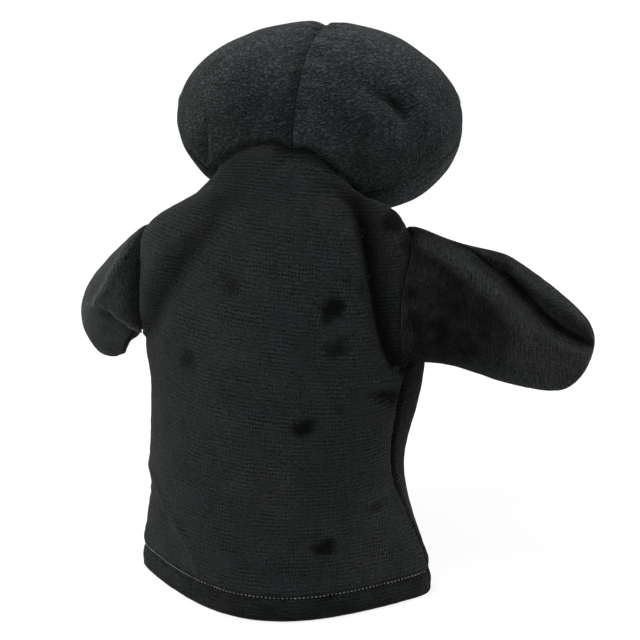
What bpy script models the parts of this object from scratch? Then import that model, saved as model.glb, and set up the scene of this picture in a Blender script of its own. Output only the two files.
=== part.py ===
"""A plush glove puppet sewn from short-pile cloth: a stuffed head, a bell-shaped tunic and two mitten arms.

The puppet stands on the hem of its tunic. It faces -Y, its back is +Y, its left arm is +X and +Z is up.
The sizes below are measured from the middle of the hem, and the finished set is moved so that the origin is
the middle of its box on the floor. All lengths are in metres and all angles in degrees.
"""

import math

import bmesh
import bpy
import numpy as np

# Cloth and sewing
CLOTH = 0.0019
HEM_CLOTH = 0.0038
SEAM_GAP = 0.0003
LINING_CLOTH = 0.0012
STITCH_RADIUS = 0.0004
STITCH_HEIGHT = 0.0105
GROOVE_DEPTH = 0.0008

# Tunic rings from the hem up: height, half width, half depth, centre x, centre y, lean, pinch at the sides
TUNIC_RINGS = (
    (0.000, 0.0620, 0.0455, 0.0000, 0.0000, 0.0, 0.58),
    (0.012, 0.0610, 0.0450, 0.0000, 0.0000, 0.0, 0.56),
    (0.030, 0.0575, 0.0440, 0.0015, -0.0005, 0.0, 0.46),
    (0.055, 0.0540, 0.0420, 0.0040, -0.0010, 0.0, 0.35),
    (0.085, 0.0565, 0.0400, 0.0010, -0.0020, 0.0, 0.22),
    (0.112, 0.0600, 0.0375, 0.0024, -0.0040, 8.0, 0.15),
    (0.133, 0.0600, 0.0345, 0.0024, -0.0060, 20.0, 0.10),
    (0.150, 0.0555, 0.0315, 0.0014, -0.0055, 33.0, 0.05),
    (0.160, 0.0450, 0.0298, -0.0020, -0.0042, 41.0, 0.00),
)

# The right side seam wanders toward the back: height and angle
RIGHT_SEAM = (
    (0.000, 0.0),
    (0.020, 2.0),
    (0.045, 12.0),
    (0.070, 22.0),
    (0.098, 22.0),
    (0.118, 9.0),
    (0.138, 2.0),
    (0.154, 0.0),
    (0.180, 0.0),
)

# Head, an ellipsoid with a sewn ditch down its middle and fuller cheeks low at the front
HEAD_CENTRE = (-0.0070, -0.0300, 0.1930)
HEAD_HALF_SIZES = (0.0580, 0.0465, 0.0382)
HEAD_TURN = 10.0
DITCH_DEPTH = 0.045
DITCH_WIDTH = 0.14
CHEEK_WIDTH = 0.55
CHEEKS = ((-0.62, -0.30, -0.72, 0.12), (0.62, -0.30, -0.72, 0.05))

# Cuts through the head: the neck faces down and back, the face panel faces forward and down
NECK_POINT = (0.0, 0.0130, 0.1813)
NECK_FACING = (0.064, 0.77, -0.636)
NECK_PEAK = (-0.0050, 0.0260, 0.0064)
FACE_DISTANCE = 0.0025
FACE_FACING = (0.083, -0.473, -0.876)

# Armholes and arms
LEFT_ARMHOLE = (0.1060, 0.1490)
RIGHT_ARMHOLE = (0.1040, 0.1565)
ARMHOLE_HALF_WIDTH = 0.0125
ARM_HALF_THICKNESS = 0.0125
ARM_TIP_ROUND = 0.72
ARM_RISE = 0.0190
RIGHT_ARM = (
    (-0.0520, -0.0050, 0.1290, 0.0250),
    (-0.0760, -0.0070, 0.1223, 0.0243),
    (-0.1000, -0.0090, 0.1138, 0.0226),
    (-0.1250, -0.0100, 0.1061, 0.0186),
)
LEFT_ARM = (
    (0.0530, -0.0060, 0.1275, 0.0200),
    (0.0742, -0.0184, 0.1146, 0.0176),
    (0.0813, -0.0320, 0.1050, 0.0180),
    (0.0868, -0.0405, 0.0950, 0.0188),
    (0.0930, -0.0500, 0.0775, 0.0155),
)
RIGHT_FOLD = (0.50, 0.14, 0.0060)
LEFT_FOLD = (0.35, 0.16, 0.0035)

# Finger pocket in the head
POCKET_RADIUS = 0.0095
POCKET_PLACE = (-0.0055, -0.0045)
POCKET_TOP = 0.2070
FILLING_SINK = 0.0030

# Eyes, glued on at the sides of the head
EYE_RADIUS = 0.0050
EYE_DOME = 0.0032
EYE_FORWARD = (14.0, 21.0)
EYE_LIFT = 2.0

# Mesh steps
TUNIC_COLUMNS = 18
ARM_COLUMNS = 15
ARM_ROWS = 13
HEAD_STEPS = 12
FILLING_COLUMNS = 30

PLUSH = ("black_plush", (0.0176, 0.0194, 0.0203), 0.9)
THREAD = ("grey_thread", (0.19, 0.20, 0.18), 0.7)
FIBRE = ("white_fibre", (0.78, 0.78, 0.76), 0.95)
LINING = ("black_lining", (0.020, 0.021, 0.022), 0.85)
PLASTIC = ("black_plastic", (0.010, 0.010, 0.011), 0.15)


def material(spec):
    name, colour, roughness = spec
    found = bpy.data.materials.get(name)
    if found:
        return found
    made = bpy.data.materials.new(name)
    made.use_nodes = True
    shader = made.node_tree.nodes["Principled BSDF"]
    shader.inputs["Base Color"].default_value = (*colour, 1.0)
    shader.inputs["Roughness"].default_value = roughness
    return made


def add_object(name, points, faces, spec):
    """One closed solid with its faces turned outward."""
    mesh = bpy.data.meshes.new(name)
    mesh.from_pydata([tuple(float(c) for c in p) for p in points], [], faces)
    shaped = bmesh.new()
    shaped.from_mesh(mesh)
    bmesh.ops.triangulate(shaped, faces=shaped.faces[:])
    bmesh.ops.recalc_face_normals(shaped, faces=shaped.faces[:])
    shaped.to_mesh(mesh)
    shaped.free()
    mesh.materials.append(material(spec))
    thing = bpy.data.objects.new(name, mesh)
    bpy.context.scene.collection.objects.link(thing)
    return thing


def unit(vectors):
    return vectors / np.maximum(np.linalg.norm(vectors, axis=-1, keepdims=True), 1e-12)


def curve(knots, values, at):
    """A natural cubic curve through the values at the knots, read at the places in at."""
    knots = np.asarray(knots, float)
    values = np.asarray(values, float)
    at = np.asarray(at, float)
    count = len(knots)
    gaps = np.diff(knots)
    slopes = np.diff(values, axis=0) / gaps[:, None]
    matrix = np.eye(count)
    right = np.zeros_like(values)
    for k in range(1, count - 1):
        matrix[k, k - 1] = gaps[k - 1]
        matrix[k, k] = 2 * (gaps[k - 1] + gaps[k])
        matrix[k, k + 1] = gaps[k]
        right[k] = 6 * (slopes[k] - slopes[k - 1])
    bends = np.linalg.solve(matrix, right)
    place = np.clip(np.searchsorted(knots, at) - 1, 0, count - 2)
    width = gaps[place][..., None]
    near = (knots[place + 1] - at)[..., None] / width
    far = 1 - near
    bend = (near**3 - near) * bends[place] + (far**3 - far) * bends[place + 1]
    return near * values[place] + far * values[place + 1] + bend * width**2 / 6


def grid_solid(outer, inner):
    """The faces and points of a curved slab between two grids of the same size."""
    rows, columns = outer.shape[:2]
    count = rows * columns
    points = np.concatenate([outer.reshape(-1, 3), inner.reshape(-1, 3)])
    faces = []
    for r in range(rows - 1):
        for c in range(columns - 1):
            a = r * columns + c
            b = a + 1
            d = a + columns
            e = d + 1
            faces.append((a, b, e, d))
            faces.append((a + count, d + count, e + count, b + count))
    rim = [(0, c) for c in range(columns)]
    rim += [(r, columns - 1) for r in range(1, rows)]
    rim += [(rows - 1, c) for c in range(columns - 2, -1, -1)]
    rim += [(r, 0) for r in range(rows - 2, 0, -1)]
    rim = [r * columns + c for r, c in rim]
    for k, a in enumerate(rim):
        b = rim[(k + 1) % len(rim)]
        faces.append((b, a, a + count, b + count))
    return points, faces


def patch_solid(outer, inner, triangles):
    """The faces and points of a curved slab between two copies of a patch of triangles."""
    count = len(outer)
    faces = []
    edges = {}
    for a, b, c in triangles:
        faces.append((a, b, c))
        faces.append((a + count, c + count, b + count))
        for pair in ((a, b), (b, c), (c, a)):
            edges[pair] = True
    for a, b in list(edges):
        if (b, a) not in edges:
            faces.append((b, a, a + count, b + count))
    return np.concatenate([outer, inner]), faces


def clip(points, triangles, values):
    """The part of a patch where the values are above zero, cut along straight lines in its triangles."""
    points = [np.asarray(p) for p in points]
    values = [float(v) if abs(v) > 2e-5 else 2e-5 for v in values]
    cuts = {}

    def cut(a, b):
        key = (min(a, b), max(a, b))
        if key not in cuts:
            share = values[a] / (values[a] - values[b])
            cuts[key] = len(points)
            points.append(points[a] + (points[b] - points[a]) * share)
        return cuts[key]

    kept = []
    for corners in triangles:
        shape = []
        for k in range(3):
            a = corners[k]
            b = corners[(k + 1) % 3]
            if values[a] > 0:
                shape.append(a)
            if (values[a] > 0) != (values[b] > 0):
                shape.append(cut(a, b))
        for k in range(1, len(shape) - 1):
            kept.append((shape[0], shape[k], shape[k + 1]))
    used = sorted({k for corners in kept for k in corners})
    number = {old: new for new, old in enumerate(used)}
    return np.array([points[k] for k in used]), [tuple(number[k] for k in corners) for corners in kept]


# Head
CENTRE = np.array(HEAD_CENTRE)
SIZES = np.array(HEAD_HALF_SIZES)
NECK_NORMAL = unit(np.array(NECK_FACING))
FACE_NORMAL = unit(np.array(FACE_FACING))


def head_reach(directions):
    """How far the outside of the head is from its centre in each direction."""
    turn = math.radians(HEAD_TURN)
    own = np.stack(
        [
            directions[..., 0] * math.cos(turn) + directions[..., 1] * math.sin(turn),
            directions[..., 1] * math.cos(turn) - directions[..., 0] * math.sin(turn),
            directions[..., 2],
        ],
        -1,
    )
    reach = 1 / np.linalg.norm(own / SIZES, axis=-1)
    swell = 1 - DITCH_DEPTH * np.exp(-((directions[..., 0] / DITCH_WIDTH) ** 2))
    for *place, height in CHEEKS:
        apart = np.linalg.norm(directions - unit(np.array(place)), axis=-1)
        swell = swell + height * np.exp(-((apart / CHEEK_WIDTH) ** 2))
    return reach * swell


def head_point(directions):
    return CENTRE + directions * head_reach(directions)[..., None]


def head_normal(directions):
    step = 1e-4
    helper = np.where(np.abs(directions[..., 2:3]) < 0.8, [0.0, 0.0, 1.0], [1.0, 0.0, 0.0])
    first = unit(np.cross(directions, helper))
    second = np.cross(directions, first)
    along = head_point(unit(directions + first * step)) - head_point(unit(directions - first * step))
    across = head_point(unit(directions + second * step)) - head_point(unit(directions - second * step))
    normal = unit(np.cross(along, across))
    return normal * np.sign(np.sum(normal * directions, axis=-1, keepdims=True))


def neck_depth(points):
    """How far points are above the neck, on the head's side. The neck rises to a peak at the middle."""
    apart = points - np.array(NECK_POINT)
    place, width, height = NECK_PEAK
    peak = height * np.exp(-(((points[..., 0] - place) / width) ** 2))
    return -peak - apart @ NECK_NORMAL


def face_depth(points):
    return (points - CENTRE) @ FACE_NORMAL - FACE_DISTANCE


def ball():
    """Directions over a ball made from the six sides of a cube."""
    steps = np.tan(np.linspace(-math.pi / 4, math.pi / 4, HEAD_STEPS + 1))
    found = {}
    points = []
    triangles = []

    def number(p):
        key = tuple(int(round(float(c) * 1e6)) for c in p)
        if key not in found:
            found[key] = len(points)
            points.append(np.array(p) / np.linalg.norm(p))
        return found[key]

    for axis in range(3):
        for side in (-1, 1):
            for i in range(HEAD_STEPS):
                for j in range(HEAD_STEPS):
                    corners = []
                    for u, v in ((i, j), (i + 1, j), (i + 1, j + 1), (i, j + 1)):
                        p = np.zeros(3)
                        p[axis] = side
                        p[(axis + 1) % 3] = steps[u]
                        p[(axis + 2) % 3] = steps[v]
                        corners.append(number(p))
                    if side < 0:
                        corners.reverse()
                    triangles.append((corners[0], corners[1], corners[2]))
                    triangles.append((corners[0], corners[2], corners[3]))
    return np.array(points), triangles


def head_panel(name, cuts):
    directions, triangles = ball()
    points = head_point(directions)
    for cut in cuts:
        points, triangles = clip(points, triangles, cut(points))
    normals = head_normal(unit(points - CENTRE))
    inner = points - normals * CLOTH
    solid, faces = patch_solid(points, inner, triangles)
    return add_object(name, solid, faces, PLUSH)


def make_head():
    half = SEAM_GAP / 2
    head_panel(
        "head_panel_left",
        (
            lambda p: p[:, 0] - CENTRE[0] - half,
            lambda p: neck_depth(p) - half,
            lambda p: -face_depth(p) - half,
        ),
    )
    head_panel(
        "head_panel_right",
        (
            lambda p: CENTRE[0] - p[:, 0] - half,
            lambda p: neck_depth(p) - half,
            lambda p: -face_depth(p) - half,
        ),
    )
    head_panel("face_panel", (lambda p: face_depth(p) - half, lambda p: neck_depth(p) - half))


def inside_head(points, skin):
    """Below one where points are inside the head, less a skin of the given thickness."""
    away = points - CENTRE
    distance = np.linalg.norm(away, axis=-1)
    return distance / (head_reach(unit(away)) - skin)


def make_filling():
    """The stuffing: a body that fits in the head, cut off above the neck, with a round pocket from below."""
    skin = CLOTH + SEAM_GAP + 0.0010
    start = np.array((POCKET_PLACE[0], POCKET_PLACE[1], 0.2000))
    around = np.linspace(0, 2 * math.pi, FILLING_COLUMNS, endpoint=False)
    bore = POCKET_RADIUS + LINING_CLOTH + SEAM_GAP

    def limit(p):
        return np.maximum(inside_head(p, skin), 1 + (FILLING_SINK - neck_depth(p)) / 0.03)

    def hit(directions):
        near = np.zeros(directions.shape[:-1])
        far = np.full(directions.shape[:-1], 0.12)
        for _ in range(40):
            middle = (near + far) / 2
            outside = limit(start + directions * middle[..., None]) > 1
            near = np.where(outside, near, middle)
            far = np.where(outside, middle, far)
        return start + directions * near[..., None]

    flat = np.stack([np.cos(around), np.sin(around), np.zeros_like(around)], -1)
    low_bore = np.array([start[0], start[1], 0.0]) + flat * bore
    low_bore[:, 2] = (FILLING_SINK - neck_depth(low_bore)) / -NECK_NORMAL[2]
    rings = []
    for polar in np.radians(np.linspace(10, 128, 13)):
        directions = flat * math.sin(polar) + np.array([0, 0, 1.0]) * math.cos(polar)
        rings.append(hit(directions))
    last = unit(low_bore - start)
    blend = unit(0.5 * unit(rings[-1] - start) + 0.5 * last)
    rings.append(hit(blend))
    rings.append(low_bore)
    roof = POCKET_TOP + LINING_CLOTH + SEAM_GAP
    for share in (0.5, 1.0):
        ring = low_bore.copy()
        ring[:, 2] = low_bore[:, 2] + ((roof - 0.004) - low_bore[:, 2]) * share
        rings.append(ring)
    for turn in (35, 65):
        ring = np.array([start[0], start[1], roof - 0.004]) + flat * bore * math.cos(math.radians(turn))
        ring[:, 2] += 0.004 * math.sin(math.radians(turn))
        rings.append(ring)
    top = hit(np.array([[0.0, 0.0, 1.0]]))[0]
    points, faces = closed_rings(rings, top, np.array([start[0], start[1], roof]))
    return add_object("head_filling", points, faces, FIBRE)


def closed_rings(rings, first, last):
    """A closed skin through rings of points, ended by a point at each end."""
    columns = len(rings[0])
    points = np.concatenate([np.array([first]), *rings, np.array([last])])
    final = len(points) - 1
    faces = []
    for c in range(columns):
        n = (c + 1) % columns
        faces.append((0, 1 + c, 1 + n))
        for r in range(len(rings) - 1):
            a = 1 + r * columns
            faces.append((a + c, a + columns + c, a + columns + n, a + n))
        a = 1 + (len(rings) - 1) * columns
        faces.append((a + c, final, a + n))
    return points, faces


def make_finger_tube():
    """The lining of the pocket: a cloth tube closed at the top, its mouth level with the stuffing."""
    around = np.linspace(0, 2 * math.pi, 24, endpoint=False)
    flat = np.stack([np.cos(around), np.sin(around), np.zeros_like(around)], -1)
    base = np.array([POCKET_PLACE[0], POCKET_PLACE[1], 0.0])

    def wall(radius, roof, share):
        ring = base + flat * radius
        low = (FILLING_SINK - neck_depth(ring)) / -NECK_NORMAL[2]
        ring[:, 2] = low + (roof - 0.004 - low) * share
        return ring

    def dome(radius, roof, turn):
        ring = base + flat * radius * math.cos(math.radians(turn))
        ring[:, 2] = roof - 0.004 + 0.004 * math.sin(math.radians(turn))
        return ring

    wide = POCKET_RADIUS + LINING_CLOTH
    high = POCKET_TOP + LINING_CLOTH
    rings = [dome(wide, high, 65), dome(wide, high, 35)]
    rings += [wall(wide, high, share) for share in (1.0, 0.5, 0.0)]
    rings += [wall(POCKET_RADIUS, POCKET_TOP, share) for share in (0.0, 0.5, 1.0)]
    rings += [dome(POCKET_RADIUS, POCKET_TOP, 35), dome(POCKET_RADIUS, POCKET_TOP, 65)]
    first = np.array([base[0], base[1], high])
    last = np.array([base[0], base[1], POCKET_TOP])
    points, faces = closed_rings(rings, first, last)
    return add_object("finger_tube", points, faces, LINING)


def make_eye(name, side):
    """A half-round button that sits on the cloth at the side of the head."""
    turn = math.radians(EYE_FORWARD[0] if side > 0 else EYE_FORWARD[1]) - side * math.radians(HEAD_TURN)
    lift = math.radians(EYE_LIFT)
    facing = np.array([side * math.cos(turn), -math.sin(turn), math.tan(lift)])
    facing = unit(facing)
    middle = head_point(facing[None])[0]
    out = head_normal(facing[None])[0]
    across = unit(np.cross(np.array([0.0, 0.0, 1.0]), out))
    up = np.cross(out, across)
    around = np.linspace(0, 2 * math.pi, 20, endpoint=False)
    rings = []

    def back(radius):
        ring = middle + radius * (np.cos(around)[:, None] * across + np.sin(around)[:, None] * up)
        towards = unit(ring - CENTRE)
        return CENTRE + towards * (head_reach(towards) + SEAM_GAP + 0.0001)[:, None]

    rings.append(back(EYE_RADIUS * 0.5))
    rings.append(back(EYE_RADIUS))
    rim = middle + out * 0.0014
    for height in (0.0, 25.0, 50.0, 72.0):
        reach = EYE_RADIUS * math.cos(math.radians(height))
        rise = (EYE_DOME - 0.0014) * math.sin(math.radians(height))
        flat = np.cos(around)[:, None] * across + np.sin(around)[:, None] * up
        rings.append(rim + reach * flat + out * rise)
    first = middle + out * (SEAM_GAP + 0.0001)
    last = middle + out * EYE_DOME
    points, faces = closed_rings(rings, first, last)
    return add_object(name, points, faces, PLASTIC)


# Tunic
def neck_ring(angles, sink):
    """Points round the neck: where the cut of the neck, sunk away from the head, meets the head's outside."""
    across = unit(np.cross(np.array([0.0, 1.0, 0.0]), NECK_NORMAL))
    across = across * np.sign(across[0])
    along = np.cross(NECK_NORMAL, across)
    along = along * np.sign(along[2])
    aim = np.cos(angles)[:, None] * across + np.sin(angles)[:, None] * along
    near = np.zeros(len(angles))
    far = np.full(len(angles), math.radians(110))
    for _ in range(36):
        middle = (near + far) / 2
        place = head_point(np.cos(middle)[:, None] * NECK_NORMAL + np.sin(middle)[:, None] * aim)
        beyond = neck_depth(place) > -sink
        near = np.where(beyond, near, middle)
        far = np.where(beyond, middle, far)
    return place


RINGS = np.array(TUNIC_RINGS)
NECK_HEIGHT = RINGS[-1, 0] + 0.0128


def tunic_point(angles, heights):
    """Points on the outside of the tunic. Angle 0 is the left side, a quarter turn is the back."""
    values = curve(RINGS[:, 0], RINGS[:, 1:], np.minimum(heights, RINGS[-1, 0]))
    lean = np.radians(values[..., 4])
    wide = values[..., 0] * np.cos(angles)
    sines = np.sin(angles)
    deep = values[..., 1] * (sines - values[..., 5] * (sines - sines**3))
    level = np.minimum(heights, RINGS[-1, 0])
    body = np.stack(
        [values[..., 2] + wide, values[..., 3] + deep * np.cos(lean), level + deep * np.sin(lean)],
        -1,
    )
    shape = np.shape(angles)
    neck = neck_ring(np.ravel(angles), SEAM_GAP / 2).reshape(*shape, 3)
    share = np.clip((heights - RINGS[-1, 0]) / (NECK_HEIGHT - RINGS[-1, 0]), 0, 1)[..., None]
    return body * (1 - share) + neck * share


def tunic_normal(angles, heights):
    step = 1e-3
    rise = 2e-4
    around = tunic_point(angles + step, heights) - tunic_point(angles - step, heights)
    low = np.maximum(heights - rise, 0.0)
    high = np.minimum(heights + rise, NECK_HEIGHT)
    upward = tunic_point(angles, high) - tunic_point(angles, low)
    return unit(np.cross(around, upward))


def lens(heights, armhole):
    """Half the width of an armhole at each height, on the outside of the arm."""
    share = np.clip((heights - armhole[0]) / (armhole[1] - armhole[0]), 0, 1)
    least = CLOTH + SEAM_GAP / 2
    return least + (ARMHOLE_HALF_WIDTH - least) * np.sin(math.pi * share) ** 0.8


def armhole_cut(heights, armhole):
    """Half the width of the hole in the tunic, which ends under the wall of the arm."""
    inside = (heights > armhole[0]) & (heights < armhole[1])
    return np.where(inside, lens(heights, armhole) - CLOTH, 0.0) + SEAM_GAP / 2


def right_seam(heights):
    """The angle of the right side seam at each height."""
    table = np.array(RIGHT_SEAM)
    return math.pi - np.radians(curve(table[:, 0], table[:, 1:], heights)[..., 0])


def beside(angles, heights, width):
    """The angles a given distance to each side of a seam, measured from front to back."""
    values = curve(RINGS[:, 0], RINGS[:, 1:], np.minimum(heights, RINGS[-1, 0]))
    lean = np.radians(values[..., 4])
    found = angles.copy()
    for _ in range(12):
        apart = tunic_point(found, heights) - tunic_point(angles, heights)
        along = apart[..., 1] * np.cos(lean) + apart[..., 2] * np.sin(lean)
        step = 1e-3
        ahead = tunic_point(found + step, heights) - tunic_point(found - step, heights)
        rate = (ahead[..., 1] * np.cos(lean) + ahead[..., 2] * np.sin(lean)) / (2 * step)
        found = found - np.clip((along - width) / rate, -0.2, 0.2)
    return found


def tunic_heights():
    """Rows that meet the stitch groove and follow the armholes closely."""
    fold = (0.0, 0.0040, 0.0085, 0.0096, 0.0114, 0.0125)
    plain = np.linspace(0.018, 0.094, 9)
    arm = np.linspace(LEFT_ARMHOLE[0] - 0.001, RIGHT_ARMHOLE[1] + 0.001, 15)
    top = (RINGS[-1, 0], RINGS[-1, 0] + 0.0064, NECK_HEIGHT)
    return np.array([*fold, *plain, *arm, *top])


def groove(heights):
    return np.where((heights > 0.0090) & (heights < 0.0120), GROOVE_DEPTH, 0.0)


def make_tunic():
    heights = tunic_heights()
    open_left = armhole_cut(heights, LEFT_ARMHOLE)
    open_right = armhole_cut(heights, RIGHT_ARMHOLE)
    left = np.zeros_like(heights)
    right = right_seam(heights)
    thickness = np.where(heights < 0.0130, HEM_CLOTH, CLOTH)
    for name, first, last in (
        ("body_back", beside(left, heights, open_left), beside(right, heights, open_right)),
        ("body_front", beside(right, heights, -open_right), beside(left, heights, -open_left) + 2 * math.pi),
    ):
        share = np.linspace(0, 1, TUNIC_COLUMNS + 1)
        angles = first[:, None] + (last - first)[:, None] * share
        levels = np.repeat(heights[:, None], TUNIC_COLUMNS + 1, axis=1)
        skin = tunic_point(angles, levels)
        normals = tunic_normal(angles, levels)
        outer = skin - normals * groove(heights)[:, None, None]
        inner = skin - normals * thickness[:, None, None]
        inner[0, :, 2] = 0.0
        outer[0, :, 2] = 0.0
        points, faces = grid_solid(outer, inner)
        add_object(name, points, faces, PLUSH)


def make_hem_thread():
    """The line of stitches round the hem, as one closed thread lying in its groove."""
    share = np.linspace(0, 1, TUNIC_COLUMNS + 1)
    level = np.array([STITCH_HEIGHT])
    seam = right_seam(level)
    angles = []
    for first, last in (
        (beside(level * 0, level, SEAM_GAP / 2), beside(seam, level, SEAM_GAP / 2)),
        (beside(seam, level, -SEAM_GAP / 2), beside(level * 0, level, -SEAM_GAP / 2) + 2 * math.pi),
    ):
        angles.append(first + (last - first) * share)
    angles = np.concatenate(angles)
    heights = np.full_like(angles, STITCH_HEIGHT)
    normals = tunic_normal(angles, heights)
    lift = STITCH_RADIUS + SEAM_GAP - GROOVE_DEPTH
    middle = tunic_point(angles, heights) + normals * lift
    around = np.linspace(0, 2 * math.pi, 6, endpoint=False)
    up = np.array([0.0, 0.0, 1.0])
    ring = np.cos(around)[None, :, None] * normals[:, None, :] + np.sin(around)[None, :, None] * up
    points = (middle[:, None, :] + ring * STITCH_RADIUS).reshape(-1, 3)
    faces = []
    count = len(angles)
    for r in range(count):
        n = (r + 1) % count
        for c in range(6):
            d = (c + 1) % 6
            faces.append((r * 6 + c, n * 6 + c, n * 6 + d, r * 6 + d))
    return add_object("hem_thread", points, faces, THREAD)


# Arms
def arm_frames(path, rows):
    """Centres, directions and half widths along an arm, with the width direction carried along the bend."""
    path = np.array(path)
    steps = np.concatenate([[0.0], np.cumsum(np.linalg.norm(np.diff(path[:, :3], axis=0), axis=1))])
    at = rows * steps[-1]
    values = curve(steps, path, at)
    ahead = curve(steps, path, np.minimum(at + 1e-4, steps[-1])) - curve(steps, path, np.maximum(at - 1e-4, 0.0))
    along = unit(ahead[:, :3])
    width = np.zeros_like(along)
    carried = np.array([0.0, 0.0, 1.0])
    for k, direction in enumerate(along):
        carried = unit(carried - (carried @ direction) * direction)
        width[k] = carried
    deep = np.cross(along, width)
    deep = deep * np.sign(deep[0, 1])
    return values[:, :3], along, width, deep, values[:, 3]


def arm_half(name, side, path, armhole, back, fold):
    """Half of a mitten arm: a bulged panel whose base sits on the tunic round one edge of the armhole."""
    rows = np.linspace(0, 1, ARM_ROWS + 1)
    across = np.sin(np.linspace(-1, 1, ARM_COLUMNS + 1) * math.radians(72)) / math.sin(math.radians(72))
    centre, along, width, deep, half = arm_frames(path, rows)
    edge = CLOTH + SEAM_GAP / 2
    swell = ARM_HALF_THICKNESS * np.clip(1 - rows**4, 0, 1) ** 0.5
    bulge = swell[:, None] * np.clip(1 - across**2, 0, 1)[None, :] ** 0.7
    if back > 0:
        place, spread, depth = fold
        reach = np.sin(math.pi * np.clip(rows, 0, 0.97) ** 0.8)
        dent = depth * np.exp(-(((across - place) / spread) ** 2))
        bulge = np.maximum(bulge - reach[:, None] * dent[None, :], 0.0)
    outer_height = edge + bulge
    inner_height = np.maximum(outer_height - CLOTH, SEAM_GAP / 2)
    round_off = ARM_TIP_ROUND * half[-1] * rows**1.5
    middle = centre[:, None, :] + width[:, None, :] * (half[:, None] * across[None, :])[..., None]
    middle = middle - along[:, None, :] * (round_off[:, None] * (1 - np.sqrt(1 - 0.95 * across**2))[None, :])[..., None]
    outer = middle + back * deep[:, None, :] * outer_height[..., None]
    inner = middle + back * deep[:, None, :] * inner_height[..., None]

    levels = armhole[0] + (armhole[1] - armhole[0]) * (across + 1) / 2
    for grid, trim in ((outer, 0.0), (inner, CLOTH)):
        reach = np.maximum(lens(levels, armhole) - trim, SEAM_GAP / 2)
        seam = np.zeros_like(levels) if side > 0 else right_seam(levels)
        angles = beside(seam, levels, back * reach)
        normals = tunic_normal(angles, levels)
        base = tunic_point(angles, levels) + normals * (SEAM_GAP + 0.0002)
        share = np.clip(rows / 0.40, 0, 1)[:, None, None]
        base = base[None] + normals[None] * ARM_RISE * share
        share = share * share * (3 - 2 * share)
        grid[:] = base * (1 - share) + grid * share
    points, faces = grid_solid(outer, inner)
    return add_object(name, points, faces, PLUSH)


def settle():
    """Move the finished set so that the origin is the middle of its box, on the floor."""
    things = list(bpy.context.scene.collection.objects)
    every = np.array([v.co[:] for thing in things for v in thing.data.vertices])
    low = every.min(axis=0)
    high = every.max(axis=0)
    shift = np.array([(low[0] + high[0]) / 2, (low[1] + high[1]) / 2, low[2]])
    for thing in things:
        for vertex in thing.data.vertices:
            vertex.co = np.array(vertex.co[:]) - shift
        thing.data.update()
    print("shift", [round(float(s) * 1000, 3) for s in shift])


def main():
    for thing in list(bpy.data.objects):
        bpy.data.objects.remove(thing, do_unlink=True)
    make_head()
    make_filling()
    make_finger_tube()
    make_eye("eye_left", 1)
    make_eye("eye_right", -1)
    make_tunic()
    make_hem_thread()
    arm_half("arm_left_back", 1, LEFT_ARM, LEFT_ARMHOLE, 1, LEFT_FOLD)
    arm_half("arm_left_front", 1, LEFT_ARM, LEFT_ARMHOLE, -1, LEFT_FOLD)
    arm_half("arm_right_back", -1, RIGHT_ARM, RIGHT_ARMHOLE, 1, RIGHT_FOLD)
    arm_half("arm_right_front", -1, RIGHT_ARM, RIGHT_ARMHOLE, -1, RIGHT_FOLD)
    settle()


main()
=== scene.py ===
"""The looks of a black plush glove puppet, seen from behind as it stands on its hem.

Each sewn panel is rebuilt as a thin closed shell of cloth on the shape of its solid, with its folds,
seams and hem pressed in. Lengths are in metres, and angles in degrees. The shapes are measured from the
middle of the hem and moved by HEM.
"""

import math

import bpy
import numpy as np
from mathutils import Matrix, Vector


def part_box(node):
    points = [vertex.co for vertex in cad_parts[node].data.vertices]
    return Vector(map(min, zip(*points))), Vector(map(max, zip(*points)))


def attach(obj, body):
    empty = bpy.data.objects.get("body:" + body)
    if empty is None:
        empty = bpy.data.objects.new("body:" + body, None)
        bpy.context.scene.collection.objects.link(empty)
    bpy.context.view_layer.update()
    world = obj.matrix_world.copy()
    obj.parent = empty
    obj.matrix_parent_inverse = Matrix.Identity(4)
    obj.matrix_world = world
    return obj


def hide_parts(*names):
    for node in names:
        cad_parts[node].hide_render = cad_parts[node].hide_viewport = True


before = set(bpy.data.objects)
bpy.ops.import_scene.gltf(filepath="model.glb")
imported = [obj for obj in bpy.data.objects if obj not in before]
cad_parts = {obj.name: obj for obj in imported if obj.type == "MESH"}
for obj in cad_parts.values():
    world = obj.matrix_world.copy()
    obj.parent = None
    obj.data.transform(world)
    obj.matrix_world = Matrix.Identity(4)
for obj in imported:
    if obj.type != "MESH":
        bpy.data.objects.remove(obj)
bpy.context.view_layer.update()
THREAD_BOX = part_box("hem_thread")
HEM = np.array([(THREAD_BOX[0][k] + THREAD_BOX[1][k]) / 2 for k in range(2)] + [0.0])

CLOTH = 0.0019
HEM_CLOTH = 0.0038
SEAM_GAP = 0.0003
CLOSED_GAP = 0.00004
LINING_CLOTH = 0.0012
HEM_TOP = 0.0130
EDGE_ROUND = 0.0016
STITCH_HEIGHT = 0.0105
STITCH_PITCH = 0.00172
STITCH_HALF_LENGTH = 0.00056
THREAD_RADIUS = 0.00031
KNIT_ROW = 0.00168
KNIT_CELL = 0.00135
# The points on the inside of a sheet stand on every fourth line of those on its outside
COARSE = 4

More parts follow.
